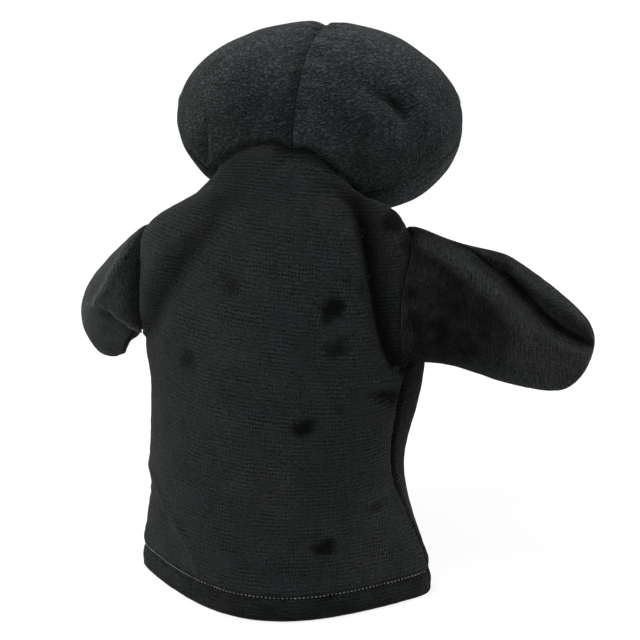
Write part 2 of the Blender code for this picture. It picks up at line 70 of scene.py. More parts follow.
# The shapes of the solids, but for a lower left shoulder and a narrower left armhole.
# Rings of the tunic: height, half width, half depth, middle X and Y, lean, and how thin the sides are
TUNIC_RINGS = (
    (0.000, 0.0620, 0.0455, 0.0000, 0.0000, 0.0, 0.58),
    (0.012, 0.0610, 0.0450, 0.0000, 0.0000, 0.0, 0.56),
    (0.030, 0.0575, 0.0440, 0.0015, -0.0005, 0.0, 0.46),
    (0.055, 0.0540, 0.0420, 0.0040, -0.0010, 0.0, 0.35),
    (0.085, 0.0565, 0.0400, 0.0010, -0.0020, 0.0, 0.22),
    (0.112, 0.0600, 0.0375, 0.0024, -0.0040, 8.0, 0.15),
    (0.133, 0.0600, 0.0345, 0.0024, -0.0060, 20.0, 0.10),
    (0.150, 0.0555, 0.0315, 0.0014, -0.0055, 33.0, 0.05),
    (0.160, 0.0437, 0.0298, -0.0033, -0.0042, 41.0, 0.00),
)
# The right side seam: height, and degrees that it is turned from the side toward the back
RIGHT_SEAM = (
    ((0.000, 0.0), (0.020, 2.0), (0.045, 12.0), (0.070, 22.0), (0.098, 22.0))
    + ((0.118, 9.0), (0.138, 2.0), (0.154, 0.0), (0.180, 0.0))
)
HEAD_CENTRE = (-0.0070, -0.0300, 0.1930)
HEAD_HALF_SIZES = (0.0580, 0.0465, 0.0382)
HEAD_TURN = 10.0
DITCH_DEPTH = 0.045
DITCH_WIDTH = 0.14
CHEEK_WIDTH = 0.55
# The bulge of each side of the head: direction X, Y and Z, and height
CHEEKS = ((-0.62, -0.30, -0.72, 0.12), (0.62, -0.30, -0.72, 0.05))
NECK_POINT = (0.0, 0.0130, 0.1813)
NECK_FACING = (0.064, 0.77, -0.636)
NECK_PEAK = (-0.0050, 0.0260, 0.0064)
FACE_DISTANCE = 0.0025
FACE_FACING = (0.083, -0.473, -0.876)
# Armholes: lowest and highest point, and half width
LEFT_ARMHOLE = (0.1060, 0.1490, 0.0065)
RIGHT_ARMHOLE = (0.1040, 0.1565, 0.0125)
ARM_HALF_THICKNESS = 0.0125
ARM_TIP_ROUND = 0.72
ARM_RISE = 0.0190
ARM_JOIN = 0.40
ARM_SUNK = 0.0008
# Arms, from the armhole to the tip: X, Y, Z and half width
RIGHT_ARM = (
    (-0.0520, -0.0050, 0.1290, 0.0250),
    (-0.0760, -0.0070, 0.1223, 0.0243),
    (-0.1000, -0.0090, 0.1138, 0.0226),
    (-0.1250, -0.0100, 0.1061, 0.0186),
)
LEFT_ARM = (
    (0.0530, -0.0060, 0.1275, 0.0200),
    (0.0742, -0.0184, 0.1146, 0.0176),
    (0.0813, -0.0320, 0.1050, 0.0180),
    (0.0868, -0.0405, 0.0950, 0.0188),
    (0.0930, -0.0500, 0.0775, 0.0155),
)
POCKET_RADIUS = 0.0095
POCKET_PLACE = (-0.0055, -0.0045)
POCKET_TOP = 0.2070
POCKET_ROUND = 0.004
FILLING_SINK = 0.0030
EYE_RADIUS = 0.0050
EYE_DOME = 0.0032
# How far forward of the side the eyes sit, left and right
EYE_FORWARD = (14.0, 21.0)
EYE_LIFT = 2.0

# Folds on the back of the tunic: points X, Z and depth in millimetres, then widths toward +X and toward -X.
# A depth above zero is a valley and one below zero is a raised fold.
BACK_FOLDS = (
    (
        ((8, 182, 0.4), (20, 168, 2.2), (30, 154, 3.4), (41, 139, 4.0), (51, 123, 4.4), (58, 109, 3.4)),
        4.0,
        7.0,
    ),
    (((36, 158, -0.3), (43, 150, -1.0), (50, 140, -1.4), (56, 126, -0.8)), 5.0, 5.0),
    (
        ((-20, 178.5, 0.8), (-27, 176, 1.8), (-33.5, 170, 4.4), (-36.5, 160, 6.2), (-39.5, 148, 7.2))
        + ((-41.8, 137, 7.4), (-44.2, 125, 7.0), (-46.8, 113, 5.8), (-50.2, 102, 3.8)),
        2.6,
        4.6,
    ),
    (((-24, 170, -0.5), (-29, 156, -1.2), (-33.5, 138, -1.6), (-38, 120, -1.3), (-43, 106, -0.6)), 5.5, 3.0),
    (
        ((-24, 181, -0.8), (-30, 177.5, -1.4), (-37, 171, -1.6), (-43, 162, -1.2), (-47.5, 150, -0.8)),
        2.6,
        3.4,
    ),
    (((-40, 97.5, -0.6), (-44, 99.6, -2.2), (-47.5, 99.8, -2.4), (-51, 98.6, -1.2)), 1.9, 1.9),
    (((-42.5, 94, 1.0), (-45.5, 92.6, 2.8), (-49.5, 90.6, 2.4)), 3.0, 3.0),
    (((56, 47, -0.8), (46, 37.1, -1.7), (35.8, 28.2, -1.6), (29.8, 20, -1.0), (28, 12, -0.3)), 2.2, 2.6),
    (((58, 38, 0.8), (49, 30, 1.3), (40, 20, 0.8)), 4.5, 4.5),
    (((-30, 26, 0.3), (-42, 34, 0.6), (-50, 44, 0.8), (-52, 60, 0.6)), 4.5, 6.0),
    (((-8, 186, 0.5), (-9, 176, 0.7), (-9, 164, 0.2)), 2.0, 2.0),
)
# Painted shade in the valleys of the folds: lines of X, Z and strength, then widths toward +X and toward -X
PAINTED_VALLEY_SHADE = (
    (
        ((-21, 178, 0.15), (-31, 173, 0.7), (-36, 163, 0.95), (-39.5, 148, 1.0), (-41.8, 137, 0.95))
        + ((-44.2, 125, 0.95), (-46.8, 113, 1.0), (-50.2, 102, 1.0)),
        2.0,
        6.6,
    ),
    (((14, 176, 0.1), (26, 160, 0.35), (40, 140, 0.45), (51, 123, 0.65), (58, 109, 0.8)), 3.5, 6.0),
    (((-42.5, 94.5, 0.5), (-45.5, 93.2, 0.9), (-49.5, 91.6, 0.9)), 2.2, 3.0),
    (((-47, 99, 0.2), (-50, 92, 0.4), (-52, 80, 0.2)), 3.0, 3.0),
)
# Where the pile has been pressed down, with the last two patches painted shade by the right armhole: X, Z,
# half width, half height and how dark, on the back
PRESSED_PILE_AND_SHADE = (
    (-26.3, 130.8, 5.0, 4.8, 1.0),
    (-24.6, 127.2, 3.4, 3.0, 0.8),
    (-27.7, 114.6, 5.0, 4.4, 0.75),
    (-29.5, 117.6, 4.0, 2.6, 0.5),
    (-16.5, 82.2, 4.8, 3.8, 1.0),
    (-19.6, 84.6, 3.4, 2.4, 0.7),
    (-25.0, 30.8, 4.8, 4.0, 1.0),
    (-22.4, 36.6, 2.4, 2.2, 0.35),
    (15.2, 137.5, 4.2, 3.4, 0.6),
    (18.0, 140.5, 2.6, 2.6, 0.4),
    (33.5, 105.1, 4.0, 4.6, 0.6),
    (-42.4, 42.9, 2.8, 2.6, 0.6),
    (-29.8, 89.4, 2.6, 2.4, 0.5),
    (-36.0, 139.0, 2.2, 4.0, 0.4),
    (-31.0, 141.0, 2.0, 3.4, 0.4),
    (-46.0, 163.0, 5.4, 5.8, 1.0),
    (-52.0, 155.0, 4.2, 5.6, 0.9),
)
# Area lamps: name, place, width and height, and power in watts
LAMPS = (
    ("key", (0.33, 0.50, 1.50), (0.6, 0.6), 16.5),
    ("fill", (1.1, 1.1, 0.75), (0.7, 0.7), 2.6),
    ("rim_left", (1.0, -0.75, 0.75), (0.5, 1.0), 13.0),
    ("rim_right", (-1.1, -0.65, 0.60), (0.5, 1.0), 11.0),
)
LAMP_AIM = (0.0, 0.0, 0.12)
# The camera, in degrees off the back and up, and its place from the middle of the hem
CAMERA_TURN = 14
CAMERA_RISE = 20
CAMERA_PLACE = (-0.32319, 1.23722, 0.58026)
# What the seeds of the noise are mixed with
MIXERS = (73856093, 19349663, 83492791)


def unit(vectors):
    return vectors / np.maximum(np.linalg.norm(vectors, axis=-1, keepdims=True), 1e-12)


def curve(knots, values, at):
    """A natural cubic curve through the values at the knots, read at the places in at."""
    knots = np.asarray(knots, float)
    values = np.asarray(values, float)
    at = np.asarray(at, float)
    count = len(knots)
    gaps = np.diff(knots)
    slopes = np.diff(values, axis=0) / gaps[:, None]
    matrix = np.eye(count)
    right = np.zeros_like(values)
    for k in range(1, count - 1):
        matrix[k, k - 1] = gaps[k - 1]
        matrix[k, k] = 2 * (gaps[k - 1] + gaps[k])
        matrix[k, k + 1] = gaps[k]
        right[k] = 6 * (slopes[k] - slopes[k - 1])
    bends = np.linalg.solve(matrix, right)
    place = np.clip(np.searchsorted(knots, at) - 1, 0, count - 2)
    width = gaps[place][..., None]
    near = (knots[place + 1] - at)[..., None] / width
    far = 1 - near
    bend = (near**3 - near) * bends[place] + (far**3 - far) * bends[place + 1]
    return near * values[place] + far * values[place + 1] + bend * width**2 / 6


def smooth(low, high, values):
    share = np.clip((values - low) / (high - low), 0, 1)
    return share * share * (3 - 2 * share)


def bell(values, width):
    return np.exp(-((values / width) ** 2))


def hashed(cells, seed):
    """Even numbers from 0 to 1 that depend only on whole-numbered cells."""
    mixed = (seed + 7) * 26544357
    for axis, factor in enumerate(MIXERS):
        mixed = cells[..., axis] * factor ^ mixed
    mixed &= 0xFFFFFFFF
    for _ in range(2):
        mixed ^= mixed >> 16
        mixed = mixed * 0x45D9F3B & 0xFFFFFFFF
    mixed ^= mixed >> 16
    return mixed / 0xFFFFFFFF


def noise(points, size, seed=0):
    """Smooth noise from -1 to 1 with lumps about size metres across."""
    at = points / np.asarray(size, float)
    cells = np.floor(at).astype(np.int64)
    part = at - cells
    part = part * part * (3 - 2 * part)
    total = np.zeros(points.shape[:-1])
    for i in (0, 1):
        for j in (0, 1):
            for k in (0, 1):
                corner = np.array([i, j, k])
                share = np.prod(np.where(corner == 1, part, 1 - part), axis=-1)
                total += share * hashed(cells + corner, seed)
    return total * 2 - 1


def along_line(points, line):
    """How far each point is from a line of points, its offset, the direction there and the table values."""
    line = np.array(line, float)
    size = points.shape[-1]
    best = np.full(points.shape[:-1], np.inf)
    offset = np.zeros_like(points)
    heading = np.zeros_like(points)
    extra = np.zeros((*points.shape[:-1], line.shape[1] - size))
    for a, b in zip(line[:-1], line[1:]):
        step = b[:size] - a[:size]
        share = np.clip(((points - a[:size]) @ step) / (step @ step), 0, 1)
        away = points - (a[:size] + share[..., None] * step)
        distance = np.linalg.norm(away, axis=-1)
        closer = distance < best
        best = np.where(closer, distance, best)
        offset[closer] = away[closer]
        heading[closer] = step / np.linalg.norm(step)
        value = a[size:] + share[..., None] * (b[size:] - a[size:])
        extra[closer] = value[closer]
    return best, offset, heading, extra


# Head
CENTRE = np.array(HEAD_CENTRE)
SIZES = np.array(HEAD_HALF_SIZES)
NECK_NORMAL = unit(np.array(NECK_FACING))
FACE_NORMAL = unit(np.array(FACE_FACING))


def head_reach(directions):
    turn = math.radians(HEAD_TURN)
    own = np.stack(
        [
            directions[..., 0] * math.cos(turn) + directions[..., 1] * math.sin(turn),
            directions[..., 1] * math.cos(turn) - directions[..., 0] * math.sin(turn),
            directions[..., 2],
        ],
        -1,
    )
    reach = 1 / np.linalg.norm(own / SIZES, axis=-1)
    swell = 1 - DITCH_DEPTH * bell(directions[..., 0], DITCH_WIDTH)
    for *place, height in CHEEKS:
        apart = np.linalg.norm(directions - unit(np.array(place)), axis=-1)
        swell = swell + height * bell(apart, CHEEK_WIDTH)
    return reach * swell


def head_point(directions):
    return CENTRE + directions * head_reach(directions)[..., None]


def head_normal(directions):
    step = 1e-4
    helper = np.where(np.abs(directions[..., 2:3]) < 0.8, [0.0, 0.0, 1.0], [1.0, 0.0, 0.0])
    first = unit(np.cross(directions, helper))
    second = np.cross(directions, first)
    along = head_point(unit(directions + first * step)) - head_point(unit(directions - first * step))
    across = head_point(unit(directions + second * step)) - head_point(unit(directions - second * step))
    normal = unit(np.cross(along, across))
    return normal * np.sign(np.sum(normal * directions, axis=-1, keepdims=True))


def neck_depth(points):
    apart = points - np.array(NECK_POINT)
    place, width, height = NECK_PEAK
    peak = height * bell(points[..., 0] - place, width)
    return -peak - apart @ NECK_NORMAL


def face_depth(points):
    return (points - CENTRE) @ FACE_NORMAL - FACE_DISTANCE


def neck_ring(angles, sink):
    across = unit(np.cross(np.array([0.0, 1.0, 0.0]), NECK_NORMAL))
    across = across * np.sign(across[0])
    along = np.cross(NECK_NORMAL, across)
    along = along * np.sign(along[2])
    aim = np.cos(angles)[:, None] * across + np.sin(angles)[:, None] * along
    near = np.zeros(len(angles))
    far = np.full(len(angles), math.radians(110))
    for _ in range(28):
        middle = (near + far) / 2
        place = head_point(np.cos(middle)[:, None] * NECK_NORMAL + np.sin(middle)[:, None] * aim)
        beyond = neck_depth(place) > -sink
        near = np.where(beyond, near, middle)
        far = np.where(beyond, middle, far)
    return place


# Tunic
RINGS = np.array(TUNIC_RINGS)
NECK_HEIGHT = RINGS[-1, 0] + 0.0128


def tunic_point(angles, heights):
    level = np.minimum(heights, RINGS[-1, 0])
    values = curve(RINGS[:, 0], RINGS[:, 1:], level)
    lean = np.radians(values[..., 4])
    wide = values[..., 0] * np.cos(angles)
    sines = np.sin(angles)
    deep = values[..., 1] * (sines - values[..., 5] * (sines - sines**3))
    body = np.stack(
        [values[..., 2] + wide, values[..., 3] + deep * np.cos(lean), level + deep * np.sin(lean)],
        -1,
    )
    high = heights > RINGS[-1, 0]
    if np.any(high):
        share = ((heights[high] - RINGS[-1, 0]) / (NECK_HEIGHT - RINGS[-1, 0]))[:, None]
        body[high] = body[high] * (1 - share) + neck_ring(angles[high], SEAM_GAP / 2) * share
    return body


def tunic_normal(angles, heights):
    step = 1e-3
    rise = 2e-4
    around = tunic_point(angles + step, heights) - tunic_point(angles - step, heights)
    low = np.maximum(heights - rise, 0.0)
    high = np.minimum(heights + rise, NECK_HEIGHT)
    upward = tunic_point(angles, high) - tunic_point(angles, low)
    return unit(np.cross(around, upward))


def lens(heights, armhole):
    share = np.clip((heights - armhole[0]) / (armhole[1] - armhole[0]), 0, 1)
    least = CLOTH + SEAM_GAP / 2
    return least + (armhole[2] - least) * np.sin(math.pi * share) ** 0.8


def armhole_cut(heights, armhole):
    inside = (heights > armhole[0]) & (heights < armhole[1])
    return np.where(inside, lens(heights, armhole) - CLOTH + SEAM_GAP / 2, CLOSED_GAP / 2)


def right_seam(heights):
    table = np.array(RIGHT_SEAM)
    return math.pi - np.radians(curve(table[:, 0], table[:, 1:], heights)[..., 0])


def beside(angles, heights, width):
    values = curve(RINGS[:, 0], RINGS[:, 1:], np.minimum(heights, RINGS[-1, 0]))
    lean = np.radians(values[..., 4])
    found = angles.copy()
    for _ in range(12):
        apart = tunic_point(found, heights) - tunic_point(angles, heights)
        along = apart[..., 1] * np.cos(lean) + apart[..., 2] * np.sin(lean)
        step = 1e-3
        ahead = tunic_point(found + step, heights) - tunic_point(found - step, heights)
        rate = (ahead[..., 1] * np.cos(lean) + ahead[..., 2] * np.sin(lean)) / (2 * step)
        found = found - np.clip((along - width) / rate, -0.2, 0.2)
    return found


def tunic_folds(points, back):
    """How far the cloth of the tunic stands out from its plain shape, folds and slack together."""
    flat = points[..., [0, 2]] * 1000
    rise = 0.0007 * noise(points, 0.034, 1) + 0.0004 * noise(points, 0.015, 2)
    if back:
        for line, plus, minus in BACK_FOLDS:
            depth, near = sided(flat, line, plus, minus)
            rise = rise - 0.001 * depth * near
    else:
        for side in (-1, 1):
            line = ((side * 40, 112, 0.4), (side * 33, 84, 1.6), (side * 27, 52, 1.4), (side * 25, 18, 0.3))
            distance, _, _, depth = along_line(flat, line)
            rise = rise - 0.001 * depth[..., 0] * bell(distance, 7.0)
    return rise


def surface(points, at):
    """Outward normals of a grid of points, where at points is a rough outward guess."""
    rows = np.gradient(points, axis=0)
    columns = np.gradient(points, axis=1)
    normal = unit(np.cross(columns, rows))
    return normal * np.where(np.sum(normal * at, axis=-1, keepdims=True) < 0, -1.0, 1.0)


def add_piece(name, points, faces, materials, inner_from=None, cloth=None, nap_and_painted_light=None):
    """A closed mesh. Faces from number inner_from on have the second material."""
    mesh = bpy.data.meshes.new(name)
    mesh.from_pydata((np.asarray(points) + HEM).tolist(), [], [list(map(int, f)) for f in faces])
    for made in materials:
        mesh.materials.append(made)
    if inner_from is not None:
        index = np.zeros(len(faces), np.int32)
        index[inner_from:] = 1
        mesh.polygons.foreach_set("material_index", index)
    mesh.polygons.foreach_set("use_smooth", np.ones(len(faces), bool))
    if cloth is not None:
        store = mesh.attributes.new("cloth", "FLOAT_VECTOR", "POINT")
        store.data.foreach_set("vector", np.asarray(cloth, np.float32).ravel())
    # How dark the pile is made: flattened patches, and painted light and shade
    if nap_and_painted_light is not None:
        store = mesh.attributes.new("nap_and_painted_light", "FLOAT", "POINT")
        store.data.foreach_set("value", np.asarray(nap_and_painted_light, np.float32).ravel())
    mesh.validate()
    mesh.update()
    thing = bpy.data.objects.new(name, mesh)
    bpy.context.scene.collection.objects.link(thing)
    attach(thing, "root")
    return thing


def quads(number):
    return np.stack([number[:-1, :-1], number[1:, :-1], number[1:, 1:], number[:-1, 1:]], -1).reshape(-1, 4)


def add_shell(name, outer, inner, cloth, dark, materials):
    """A closed sheet between a fine outer grid and a coarser inner one."""
    rows, columns = outer.shape[:2]
    low_rows, low_columns = inner.shape[:2]
    count = rows * columns
    fine = np.arange(count).reshape(rows, columns)
    coarse = np.arange(low_rows * low_columns).reshape(low_rows, low_columns) + count
    faces = quads(fine)[:, [0, 3, 2, 1]].tolist()
    for fine_line, coarse_line in (
        (fine[0], coarse[0]),
        (fine[:, -1], coarse[:, -1]),
        (fine[-1, ::-1], coarse[-1, ::-1]),
        (fine[::-1, 0], coarse[::-1, 0]),
    ):
        for k in range(len(coarse_line) - 1):
            first = k * COARSE
            faces += [(fine_line[j + 1], fine_line[j], coarse_line[k]) for j in range(first, first + COARSE)]
            faces.append((fine_line[first + COARSE], coarse_line[k], coarse_line[k + 1]))
    inner_from = len(faces)
    faces += quads(coarse).tolist()
    points = np.concatenate([outer.reshape(-1, 3), inner.reshape(-1, 3)])
    cloth = np.concatenate([cloth.reshape(-1, 3), cloth[::COARSE, ::COARSE].reshape(-1, 3)])
    dark = np.concatenate([dark.ravel(), np.zeros(low_rows * low_columns)])
    return add_piece(name, points, faces, materials, inner_from, cloth, dark)


def spaced(*stretches):
    """Numbers in even steps over several stretches: first, last and steps."""
    parts = [np.linspace(first, last, steps + 1)[:-1] for first, last, steps in stretches]
    return np.concatenate([*parts, [stretches[-1][1]]])


def arcs(points, axis):
    steps = np.linalg.norm(np.diff(points, axis=axis), axis=-1)
    pad = [(0, 0), (0, 0)]
    pad[axis] = (1, 0)
    return np.pad(np.cumsum(steps, axis=axis), pad)


def sided(flat, line, plus, minus):
    """The values along a line in the plane of X and Z, and how near each point is to it."""
    distance, offset, heading, values = along_line(flat, line)
    side = offset[..., 0] * -heading[..., 1] + offset[..., 1] * heading[..., 0]
    return values[..., 0], bell(distance, np.where(side > 0, plus, minus))


def blotches_and_painted_shade(points, back):
    """How dark the tunic's colour is made: patches of flattened pile, painted shade in the valleys of its
    folds and by the right armhole, and painted shade under the right arm on the front.
    """
    flat = points[..., [0, 2]] * 1000
    if not back:
        # Painted shade on the right side of the front, under the right arm
        return 0.85 * smooth(-38.0, -44.0, flat[..., 0]) * smooth(40.0, 60.0, flat[..., 1])
    wobble = noise(points, 0.0012, 11) + 0.8 * noise(points, 0.0030, 12)
    dark = np.zeros(points.shape[:-1])
    # Patches of pressed pile, and painted shade by the right armhole
    for x, z, wide, high, strength in PRESSED_PILE_AND_SHADE:
        away = np.sqrt(((flat[..., 0] - x) / wide) ** 2 + ((flat[..., 1] - z) / high) ** 2)
        dark = np.maximum(dark, strength * (1 - smooth(0.40, 1.30, away + 0.26 * wobble)))
    # Painted shade along the valleys of the folds
    for line, plus, minus in PAINTED_VALLEY_SHADE:
        strength, near = sided(flat, line, plus, minus)
        dark = np.maximum(dark, strength * near)
    return dark


def in_stitch_line(levels):
    return bell(levels - STITCH_HEIGHT, 0.0010)


def tunic_relief(flow, levels, near, at_top, in_armhole):
    """How far the cloth of the tunic stands out along its hem, seams and neck edge."""
    # The hem, folded up and stitched
    pucker = noise(flow, (0.0042, 0.02, 1.0), 21) + 0.6 * noise(flow, (0.0021, 0.02, 1.0), 22)
    stitch = in_stitch_line(levels)
    band = bell(levels - 0.0050, 0.0036)
    above = bell(levels - 0.0145, 0.0026)
    detail = -0.0010 * stitch + 0.0005 * band + 0.0004 * above
    detail = detail + 0.00022 * pucker * (stitch + above + 0.5 * band)
    detail = detail * smooth(0.0, 0.0035, near)
    # Seams rolled in
    seam_at = np.where(in_armhole & (levels > LEFT_ARMHOLE[0]), np.abs(near - CLOTH), near)
    gather = 1 + 0.25 * noise(flow, (1.0, 0.0034, 1.0), 23)
    pull = np.where(in_armhole, 0.0007, 0.0011)
    detail = detail - pull * gather * bell(seam_at, 0.0010) * smooth(0.0, 0.003, levels)
    ruck = noise(flow, (0.014, 0.0026, 1.0), 24) * bell(near, 0.006)
    detail = detail + 0.00022 * ruck * smooth(0.013, 0.02, levels)
    # The neck edge tucked under the head, with small pleats
    pleats = noise(flow, (0.0038, 0.03, 1.0), 25)
    detail = detail - 0.0009 * bell(at_top, 0.0014)
    detail = detail + 0.0005 * pleats * bell(at_top, 0.009) * smooth(0.0, 0.002, at_top)
    detail = detail + 0.00010 * noise(flow, 0.0030, 26)
    return detail


def tunic_tone_and_painted_light(skin, flow, levels, near, at_top, back):
    """How dark the tunic's colour is made: its patches and painted shade, a darker hem band below the
    stitches left lighter along the bottom edge as painted light, the stitch line, painted shade along the
    neck edge under the head and a dark line along the seams.
    """
    dark = blotches_and_painted_shade(skin, back)
    # Darker over the hem band below the stitches
    hem_band_mottle = 0.75 + 0.35 * noise(flow, (0.006, 0.003, 1.0), 27)
    folded = 1 - smooth(STITCH_HEIGHT - 0.0012, STITCH_HEIGHT + 0.0022, levels)
    dark = np.maximum(dark, 0.62 * hem_band_mottle * folded)
    # Painted light: the darkening fades out along the bottom edge
    dark = dark * smooth(0.0002, 0.0018, levels)
    dark = np.maximum(dark, 0.85 * in_stitch_line(levels))
    # Painted shade along the neck edge under the head, wider on the right
    neck_shade_width = np.where(skin[..., 0] < 0.0, 0.0034, 0.0016)
    dark = np.maximum(dark, 0.8 * bell(at_top, neck_shade_width))
    dark = np.maximum(dark, 0.6 * bell(near, 0.0010))
    return dark


def make_tunic(materials):
    heights = spaced((0.0, 0.014, 28), (0.014, 0.0995, 92), (0.0995, 0.160, 76), (0.160, NECK_HEIGHT, 28))
    columns = 184
    open_left = armhole_cut(heights, LEFT_ARMHOLE)
    open_right = armhole_cut(heights, RIGHT_ARMHOLE)
    left = np.zeros_like(heights)
    right = right_seam(heights)
    made = []
    panels = (
        ("tunic_back", "body_back", (left, open_left), (right, open_right), True),
        ("tunic_front", "body_front", (right, -open_right), (left, -open_left), False),
    )
    for name, node, start, end, back in panels:
        first, last = (beside(seam, heights, width) for seam, width in (start, end))
        last = last if back else last + 2 * math.pi
        share = np.linspace(0, 1, columns + 1)
        angles = first[:, None] + (last - first)[:, None] * share
        levels = np.repeat(heights[:, None], columns + 1, axis=1)
        skin = tunic_point(angles, levels)
        normals = tunic_normal(angles, levels)
        around = arcs(skin, 1)
        upward = arcs(skin, 0)
        whole = around[:, -1:]
        near = np.minimum(around, whole - around)
        at_top = upward[-1:] - upward
        in_armhole = (levels > LEFT_ARMHOLE[0] - 0.004) & (levels < RIGHT_ARMHOLE[1] + 0.002)
        still = np.where(in_armhole, smooth(0.0004, 0.0085, near), smooth(-0.004, 0.006, near))
        still = still * smooth(0.0, 0.009, at_top) * smooth(0.0, 0.012, levels)
        folds = tunic_folds(skin, back) * still
        flow = np.stack([around, upward, np.zeros_like(around)], -1)
        detail = tunic_relief(flow, levels, near, at_top, in_armhole)
        base = skin + normals * folds[..., None]
        facing = surface(base, normals)
        outer = base + facing * detail[..., None]
        low_edge = np.clip(levels / EDGE_ROUND, 0, 1)
        outer = outer - facing * (0.0015 * (1 - np.sqrt(1 - (1 - low_edge) ** 2)))[..., None]
        outer[..., 2] = np.maximum(outer[..., 2], 0.0)
        outer[0, :, 2] = 0.0
        thickness = np.where(levels < HEM_TOP, HEM_CLOTH, CLOTH - 0.0001)
        thickness = thickness * (0.72 + 0.28 * smooth(0.0, 0.003, near))
        inner = (base - facing * thickness[..., None])[::COARSE, ::COARSE]
        inner[..., 2] = np.maximum(inner[..., 2], 0.0)
        inner[0, :, 2] = 0.0
        dark = tunic_tone_and_painted_light(skin, flow, levels, near, at_top, back)
        made.append((outer, heights))
        for k in range(1, COARSE + 1):
            tuck = neck_ring(angles[-1], SEAM_GAP / 2 - 0.0032 * k / COARSE)
            under = head_normal(unit(tuck - CENTRE))
            outer = np.concatenate([outer, (tuck - under * (0.0010 + 0.0011 * k / COARSE))[None]])
            flow = np.concatenate([flow, flow[-1:] + np.array([0.0, 0.0009, 0.0])])
            # Painted shade on the edge tucked under the head
            dark = np.concatenate([dark, np.full_like(dark[-1:], 0.9)])
        inner = np.concatenate([inner, (tuck - under * 0.0031)[None, ::COARSE]])
        piece = add_shell(name, outer, inner, flow, dark, materials)
        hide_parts(node)
    return made


def make_stitches(panels, material):
    """Each stitch of the hem is a short bead of thread lying in the pressed line."""
    points = []
    faces = []
    corners = 6
    around = np.linspace(0, 2 * math.pi, corners, endpoint=False)
    shape = ((-1.0, 0.10), (-0.80, 0.62), (-0.35, 1.0), (0.35, 1.0), (0.80, 0.62), (1.0, 0.10))
    for outer, heights in panels:
        row = int(np.argmin(np.abs(heights - STITCH_HEIGHT)))
        line = outer[row]
        normal = unit(np.cross(np.gradient(outer, axis=1)[row], np.gradient(outer, axis=0)[row]))
        length = np.concatenate([[0.0], np.cumsum(np.linalg.norm(np.diff(line, axis=0), axis=1))])

        def read(at, values):
            return np.array([np.interp(at, length, values[:, c]) for c in range(3)])

        for k in range(int((length[-1] - 0.002) / STITCH_PITCH)):
            at = 0.0012 + STITCH_PITCH * (k + 0.5)
            jitter = hashed(np.array([k, row, len(points)]), 5) - 0.5
            place = read(at, line)
            along = unit(read(at + 4e-4, line) - place + np.array([0.0, 0.0, 1e-4 * jitter]))
            out = unit(read(at, normal))
            side = unit(np.cross(out, along))
            half = STITCH_HALF_LENGTH + 0.00012 * jitter
            sink = 0.00042 * max(0.0, noise(np.array([at * 90, row * 1.0, 0.5]), 1.0, 6) + 0.25)
            first = len(points)
            for share, wide in shape:
                crown = 0.00016 * (1 - share**2) - sink
                for turn in around:
                    lift = THREAD_RADIUS * (0.75 + wide * math.sin(turn)) + crown
                    spread = side * THREAD_RADIUS * wide * math.cos(turn)
                    points.append(place + along * half * share + out * lift + spread)
            for r in range(first, first + corners * (len(shape) - 1), corners):
                for c in range(corners):
                    d = (c + 1) % corners
                    faces.append((r + c, r + d, r + corners + d, r + corners + c))
            faces.append(tuple(first + c for c in reversed(range(corners))))
            faces.append(tuple(first + corners * (len(shape) - 1) + c for c in range(corners)))
    piece = add_piece("hem_stitches", np.array(points), faces, [material])
    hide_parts("hem_thread")


# Arms
def arm_frames(path, rows):
    path = np.array(path)
    steps = np.concatenate([[0.0], np.cumsum(np.linalg.norm(np.diff(path[:, :3], axis=0), axis=1))])
    at = rows * steps[-1]
    values = curve(steps, path, at)
    ahead = curve(steps, path, np.minimum(at + 1e-4, steps[-1]))
    ahead = ahead - curve(steps, path, np.maximum(at - 1e-4, 0.0))
    along = unit(ahead[:, :3])
    width = np.zeros_like(along)
    carried = np.array([0.0, 0.0, 1.0])
    for k, direction in enumerate(along):
        carried = unit(carried - (carried @ direction) * direction)
        width[k] = carried
    deep = np.cross(along, width)
    deep = deep * np.sign(deep[0, 1])
    return values[:, :3], along, width, deep, values[:, 3]


# Along the right arm from 0 to 1, how far across it the valley lies: 1 is its upper edge
RIGHT_VALLEY = (
    ((0.0, 1.06), (0.20, 1.04), (0.30, 0.97), (0.43, 0.86), (0.51, 0.72), (0.60, 0.60))
    + ((0.655, 0.52), (0.73, 0.42), (0.81, 0.35), (0.915, 0.32), (1.0, 0.30))
)
# Along an arm, how many millimetres its upper or lower edge is raised
RIGHT_HIGH = ((0.0, 0.0), (0.22, -1.5), (0.36, 3.7), (0.50, 3.9), (0.64, 2.6), (0.80, 1.2), (1.0, -2.2))
LEFT_HIGH = ((0.0, 0.0), (0.15, -1.5), (0.35, -2.6), (0.60, -2.4), (0.85, -0.6), (1.0, 0.0))
LEFT_LOW = ((0.0, 0.0), (0.45, 0.0), (0.65, 1.2), (0.85, 3.4), (1.0, 2.6))



def right_valley(rows):
    table = np.array(RIGHT_VALLEY)
    return np.interp(rows, table[:, 0], table[:, 1])[:, None]


